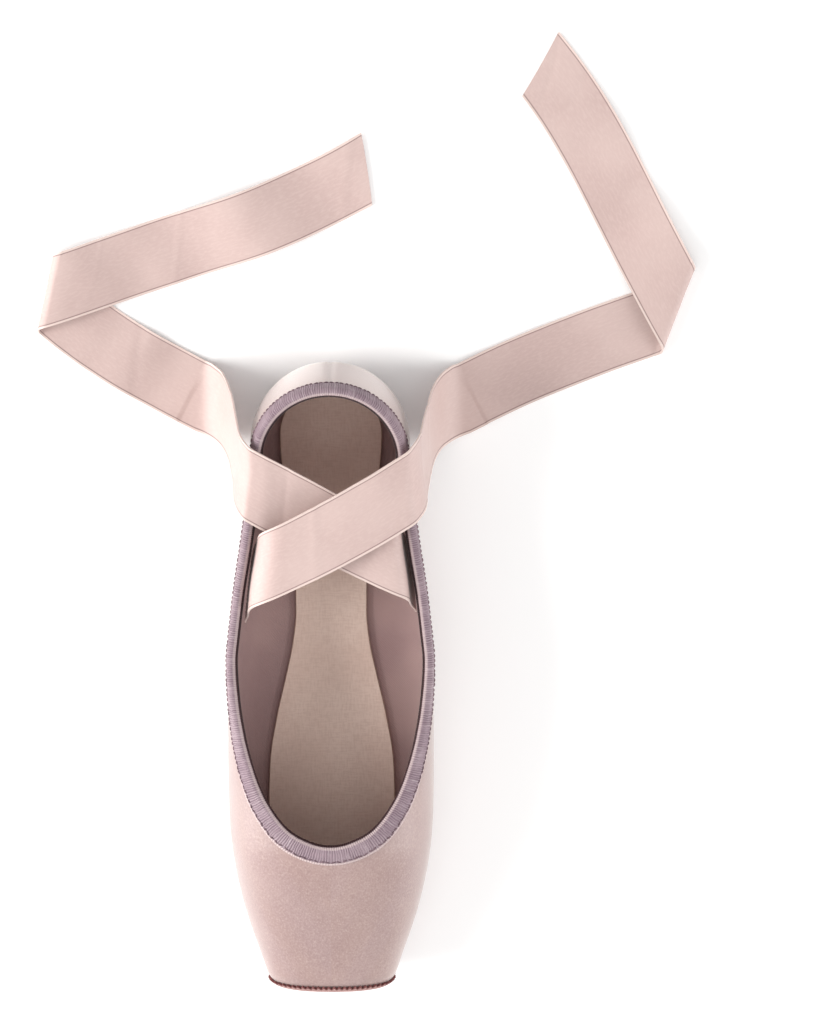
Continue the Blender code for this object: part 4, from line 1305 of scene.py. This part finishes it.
def plate(name, front, back, spare, lower, upper, mat, bevel, detail):
    """A sole-shaped plate with rounded edges. detail gives the height change of a face."""
    head = front + 16 * MM * np.linspace(0.0006, 1, 26) ** 2
    reach = back - HEEL_CENTRE
    tail = HEEL_CENTRE + reach * np.sin(np.linspace(0, 1, 30) * math.radians(89.6))
    body = np.linspace(head[-1], HEEL_CENTRE, 110)[1:-1]
    along = np.concatenate([head, body, tail])
    half = np.maximum(sole_outline(along, front, back, spare), 0.05 * MM)
    shares = np.linspace(0, 1, 13)
    turns = (0.35, 0.75, 1.15, math.pi / 2)
    rows = []
    for a, h, b, t in zip(along, half, lower(along), upper(along)):
        inner = max(h - bevel, 0.3 * h)
        near = min(1, h / (9 * MM))
        inset = CHANNEL * near
        foot = [(inner - inset - 0.9 * MM * h / (h + MM)) * s for s in shares]
        foot += [inner - inset + d * near for d in CHANNEL_STEPS]
        row = [(max(x, 0), a, b, BOTTOM) for x in foot]
        bend = [(inner + (h - inner) * math.sin(turn), bevel * (1 - math.cos(turn)))
                for turn in turns]
        row += [(x, a, b + rise, EDGE) for x, rise in bend]
        row += [(x, a, t - rise, EDGE) for x, rise in bend[::-1]]
        row += [(inner * s, a, t, TOP) for s in np.linspace(0, 1, len(foot))[::-1]]
        rows.append(row)
    grid = np.array(rows)
    marks = grid[..., 3]
    grid = grid[..., :3]
    n = grid.shape[1]
    build = Build("edge", "tread")
    for side in (1, -1):
        full = grid * (side, 1, 1)
        full = full + detail(full, marks, half[:, None])
        channel = bell(half[:, None] - np.abs(full[..., 0]), bevel + CHANNEL, CHANNEL_WIDTH)
        edge = np.maximum(marks == EDGE, 0.9 * channel * (marks == BOTTOM))
        tread = (marks == BOTTOM) * ease(1.2 * MM, 0.2 * MM, full[..., 2])
        points = full.reshape(-1, 3)
        start = build.add(points, points[:, :2], edge=edge, tread=tread)
        build.face(lattice(len(along), n, start), side < 0)
        build.cap(start, n)
        build.cap(start + (len(along) - 1) * n, n)
    return build.finish(name, [mat], angle=50)


def make_ribbon(name, side, drape, trail, entry):
    """A ribbon with small ripples, its selvages and a clean cut end."""
    grid = ribbon_grid(side, drape, trail, entry, 420, 17)
    rows, columns = grid.shape[:2]
    n = grid_normals(grid)
    run = run_along(grid[:, columns // 2])
    v = np.linspace(0, 1, columns)
    ripple = 0.16 * MM * hash_noise(run[:, None] / (16 * MM), v[None] * 2.2, 0.0, 31 + side)
    cockle = hash_noise(run[:, None] / (8 * MM) + 0.7 * v[None], v[None] * 0.8, 0.0, 53 + side)
    crease = hash_noise(run[:, None] / (27 * MM) - 0.4 * v[None], 0.0, 0.0, 61 + side)
    crease = np.exp(-((crease / 0.05) ** 2)) * (0.5 + 0.5 * v[None])
    ripple = ripple + 0.14 * MM * cockle + 0.22 * MM * crease
    ripple = ripple * ease(0, 12 * MM, run)[:, None]
    grid = grid + n * ripple[..., None]
    selvage = 1 + 0.25 * (np.abs(v - 0.5) > 0.46)
    thick = (RIBBON_THICKNESS / 2 * selvage)[None, :, None]
    top = grid + n * thick
    low = grid - n * thick
    low[..., 2] = np.maximum(low[..., 2], 0.25 * MM)
    top[..., 2] = np.maximum(top[..., 2], 0.35 * MM)
    section = np.concatenate([top, low[:, ::-1]], axis=1)
    width = section.shape[1]
    across = np.concatenate([v, v[::-1]])
    uvs = np.stack(np.broadcast_arrays(run[:, None], across[None]), -1).reshape(-1, 2)
    build = Build()
    build.add(section.reshape(-1, 3), uvs)
    build.face(lattice(rows, width, closed=True))
    build.cap(0, width, True)
    build.cap((rows - 1) * width, width)
    return build.finish(name, [RIBBON], 0.001 * MM, 60), run[-1], grid, n


def sewn_stitches(name, grid, n):
    """Rows of small hand stitches that hold a ribbon to the lining."""
    strands = []
    columns = grid.shape[1]
    for j in (2, columns - 3):
        for k in range(2, 22, 2):
            a = grid[k, j] + n[k, j] * 0.32 * MM
            b = grid[k + 1, j] + n[k + 1, j] * 0.32 * MM
            strands.append(np.linspace(a, b, 4))
    for j in range(2, columns - 2):
        a = grid[2, j] + n[2, j] * 0.32 * MM
        b = (grid[2, j] + grid[2, j + 1]) / 2 + n[2, j] * 0.32 * MM
        strands.append(np.linspace(a, b, 4))
    return make_threads(name, strands, 0.16 * MM, THREAD_PALE, 5)


SATIN = satin_material()
LINING = lining_material()
BINDING = binding_material()
THREAD_DARK = thread_material("dark_thread", rgb(0.110, 0.058, 0.074), rgb(0.200, 0.125, 0.145))
# Near-black thread: its colour is painted shade along the inside of the collar.
THREAD_SHADE = thread_material("shade_thread", rgb(0.012, 0.003, 0.004), rgb(0.026, 0.007, 0.008))
THREAD_PALE = thread_material("pale_thread", rgb(0.46, 0.34, 0.31), rgb(0.56, 0.43, 0.39))
THREAD_WAXED = thread_material("waxed_thread", rgb(0.50, 0.37, 0.25), rgb(0.62, 0.48, 0.34))
RIBBON = ribbon_material()
SUEDE = suede_material()
LEATHER = leather_material()
INSOLE = insole_material()


def tread_height(along):
    return underside(along) - GAP - SOLE_THICKNESS


def sole_top(along):
    return underside(along) - GAP


def insole_bottom(along):
    return underside(along) + wall(along) + GAP


def insole_top(along):
    return insole_bottom(along) + INSOLE_THICKNESS


def sole_detail(points, marks, half):
    """A stitched channel round the underside."""
    inset = half - np.abs(points[..., 0])
    groove = bell(inset, CHANNEL + 0.5 * MM, CHANNEL_WIDTH) * (marks == BOTTOM)
    change = np.zeros(points.shape)
    change[..., 2] = CHANNEL_DEPTH * groove
    return change


def make_sole_stitches():
    """Waxed stitches lying in the channel of the sole."""
    along = np.linspace(SOLE_TIP + 5 * MM, SOLE_END - 5 * MM, 1600)
    half = sole_outline(along, SOLE_TIP, SOLE_END, SOLE_SPARE) - CHANNEL - 0.5 * MM
    line = np.stack([half, along, tread_height(along) + 0.22 * MM], -1)
    run = run_along(line)
    strands = []
    for start in np.arange(0, run[-1] - 3 * MM, SOLE_STITCH_PITCH):
        at = start + np.linspace(0, 0.75 * SOLE_STITCH_PITCH, 5)
        strand = np.stack([np.interp(at, run, line[:, k]) for k in range(3)], -1)
        strand[[0, -1], 2] += 0.20 * MM
        strands += [strand, strand * (-1, 1, 1)]
    return make_threads("sole_stitches", strands, 0.24 * MM, THREAD_WAXED)


def insole_detail(points, marks, half):
    """A shallow dish for the heel and ball, worn into the cover."""
    change = np.zeros(points.shape)
    noise = hash_noise(points[..., 0] / (11 * MM), points[..., 1] / (14 * MM), 0.0, 41)
    share = np.abs(points[..., 0]) / np.maximum(half, MM)
    change[..., 2] = (marks == TOP) * (0.12 * MM * noise - 0.25 * MM * (1 - share**2))
    return change


upper_piece = make_upper()
binding_piece = make_binding()
edge_chain = make_edge_chain()
inner_line = make_edge_cord()
patch_piece = make_patch()
outsole_piece = plate("outsole_leather", SOLE_TIP, SOLE_END, SOLE_SPARE, tread_height, sole_top,
                      LEATHER, 0.5 * MM, sole_detail)
insole_piece = plate("insole_cover", INSOLE_TIP, SOLE_END, SOLE_SPARE, insole_bottom, insole_top,
                     INSOLE, 0.4 * MM, insole_detail)
sole_sewn = make_sole_stitches()
left_piece, left_length, left_grid, left_n = make_ribbon(
    "left_ribbon", 1, DRAPE_OVER, TRAIL_OVER, LEFT_ENTRY)
right_piece, right_length, right_grid, right_n = make_ribbon(
    "right_ribbon", -1, DRAPE_UNDER, TRAIL_UNDER, RIGHT_ENTRY)
left_sewn = sewn_stitches("left_ribbon_stitches", left_grid, left_n)
right_sewn = sewn_stitches("right_ribbon_stitches", right_grid, right_n)

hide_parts("upper")
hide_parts("collar_binding")
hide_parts("platform_patch")
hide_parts("outsole")
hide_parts("insole")
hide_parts("ribbon_left")
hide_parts("ribbon_right")

SLOTS = {
    "satin": [upper_piece],
    "binding": [binding_piece, edge_chain, inner_line],
    "suede": [patch_piece],
    "sole_leather": [outsole_piece, sole_sewn],
    "insole": [insole_piece],
    "ribbon": [left_piece, right_piece, left_sewn, right_sewn],
}
for slot_name, pieces in SLOTS.items():
    for piece in pieces:
        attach(piece, "root")

# Floor, light and camera

def look_at(obj, target):
    way = Vector(target) - obj.location
    obj.rotation_euler = way.to_track_quat("-Z", "Y").to_euler()


def area_light(name, where, size, power, colour):
    """A rectangular lamp aimed at the middle of the shoe."""
    data = bpy.data.lights.new(name, "AREA")
    data.shape = "RECTANGLE"
    data.size = size[0]
    data.size_y = size[1]
    data.energy = power
    data.color = colour
    lamp = bpy.data.objects.new(name, data)
    bpy.context.scene.collection.objects.link(lamp)
    lamp.location = where
    look_at(lamp, (0, 0, 30 * MM))


floor_mesh = bpy.data.meshes.new("floor")
floor_mesh.from_pydata([(-4, -4, 0), (4, -4, 0), (4, 4, 0), (-4, 4, 0)], [], [(0, 1, 2, 3)])
floor = bpy.data.objects.new("floor", floor_mesh)
bpy.context.scene.collection.objects.link(floor)
ground = Nodes("pale_floor")
ground.set(color=rgb(0.97, 0.97, 0.97), rough=0.85, spec=0.2, glow=0.07, glow_color=rgb(1, 1, 1))
floor_mesh.materials.append(ground.mat)

world = bpy.data.worlds.new("studio")
world.use_nodes = True
world.node_tree.nodes["Background"].inputs[0].default_value = (1.0, 1.0, 1.0, 1.0)
world.node_tree.nodes["Background"].inputs[1].default_value = 0.60
bpy.context.scene.world = world

area_light("key", (-1.25, -0.05, 0.50), (0.8, 1.2), 28.5, (1.0, 0.99, 0.97))
area_light("fill", (1.25, -0.3, 0.60), (0.7, 1.2), 12.5, (0.99, 0.985, 0.975))
area_light("top", (0.0, -0.4, 1.5), (1.2, 1.2), 3.0, (1.0, 1.0, 1.0))

# The photo's frame in pixels, with the middle of the shoe and its tip in it
PHOTO_WIDTH = 819
PHOTO_HEIGHT = 1024
SHOE_COLUMN = 332
TIP_ROW = 988
PIXELS_PER_M = 2690.0

TILT = math.radians(12)
DISTANCE = 2.0
SENSOR = 36
AIM_HEIGHT = 20 * MM
AIM_SHIFT = 6.2 * MM
view_way = Vector((0, math.sin(TILT), math.cos(TILT)))
view_up = Vector((0, math.cos(TILT), -math.sin(TILT)))
right = (PHOTO_WIDTH / 2 - SHOE_COLUMN) / PIXELS_PER_M
up = (TIP_ROW - PHOTO_HEIGHT / 2) / PIXELS_PER_M - AIM_SHIFT
target = Vector((right, TIP_Y, 0)) + view_up * up + view_way * AIM_HEIGHT
camera_data = bpy.data.cameras.new("camera")
camera_data.sensor_fit = "VERTICAL"
camera_data.sensor_height = SENSOR
camera_data.lens = SENSOR * DISTANCE * PIXELS_PER_M / PHOTO_HEIGHT
camera = bpy.data.objects.new("camera", camera_data)
bpy.context.scene.collection.objects.link(camera)
camera.location = target + view_way * DISTANCE
view_right = view_up.cross(view_way).normalized()
camera.rotation_euler = Matrix((view_right, view_up, view_way)).transposed().to_euler()
bpy.context.scene.camera = camera

bpy.context.scene.view_settings.view_transform = "Standard"
bpy.context.scene.view_settings.exposure = 0.0
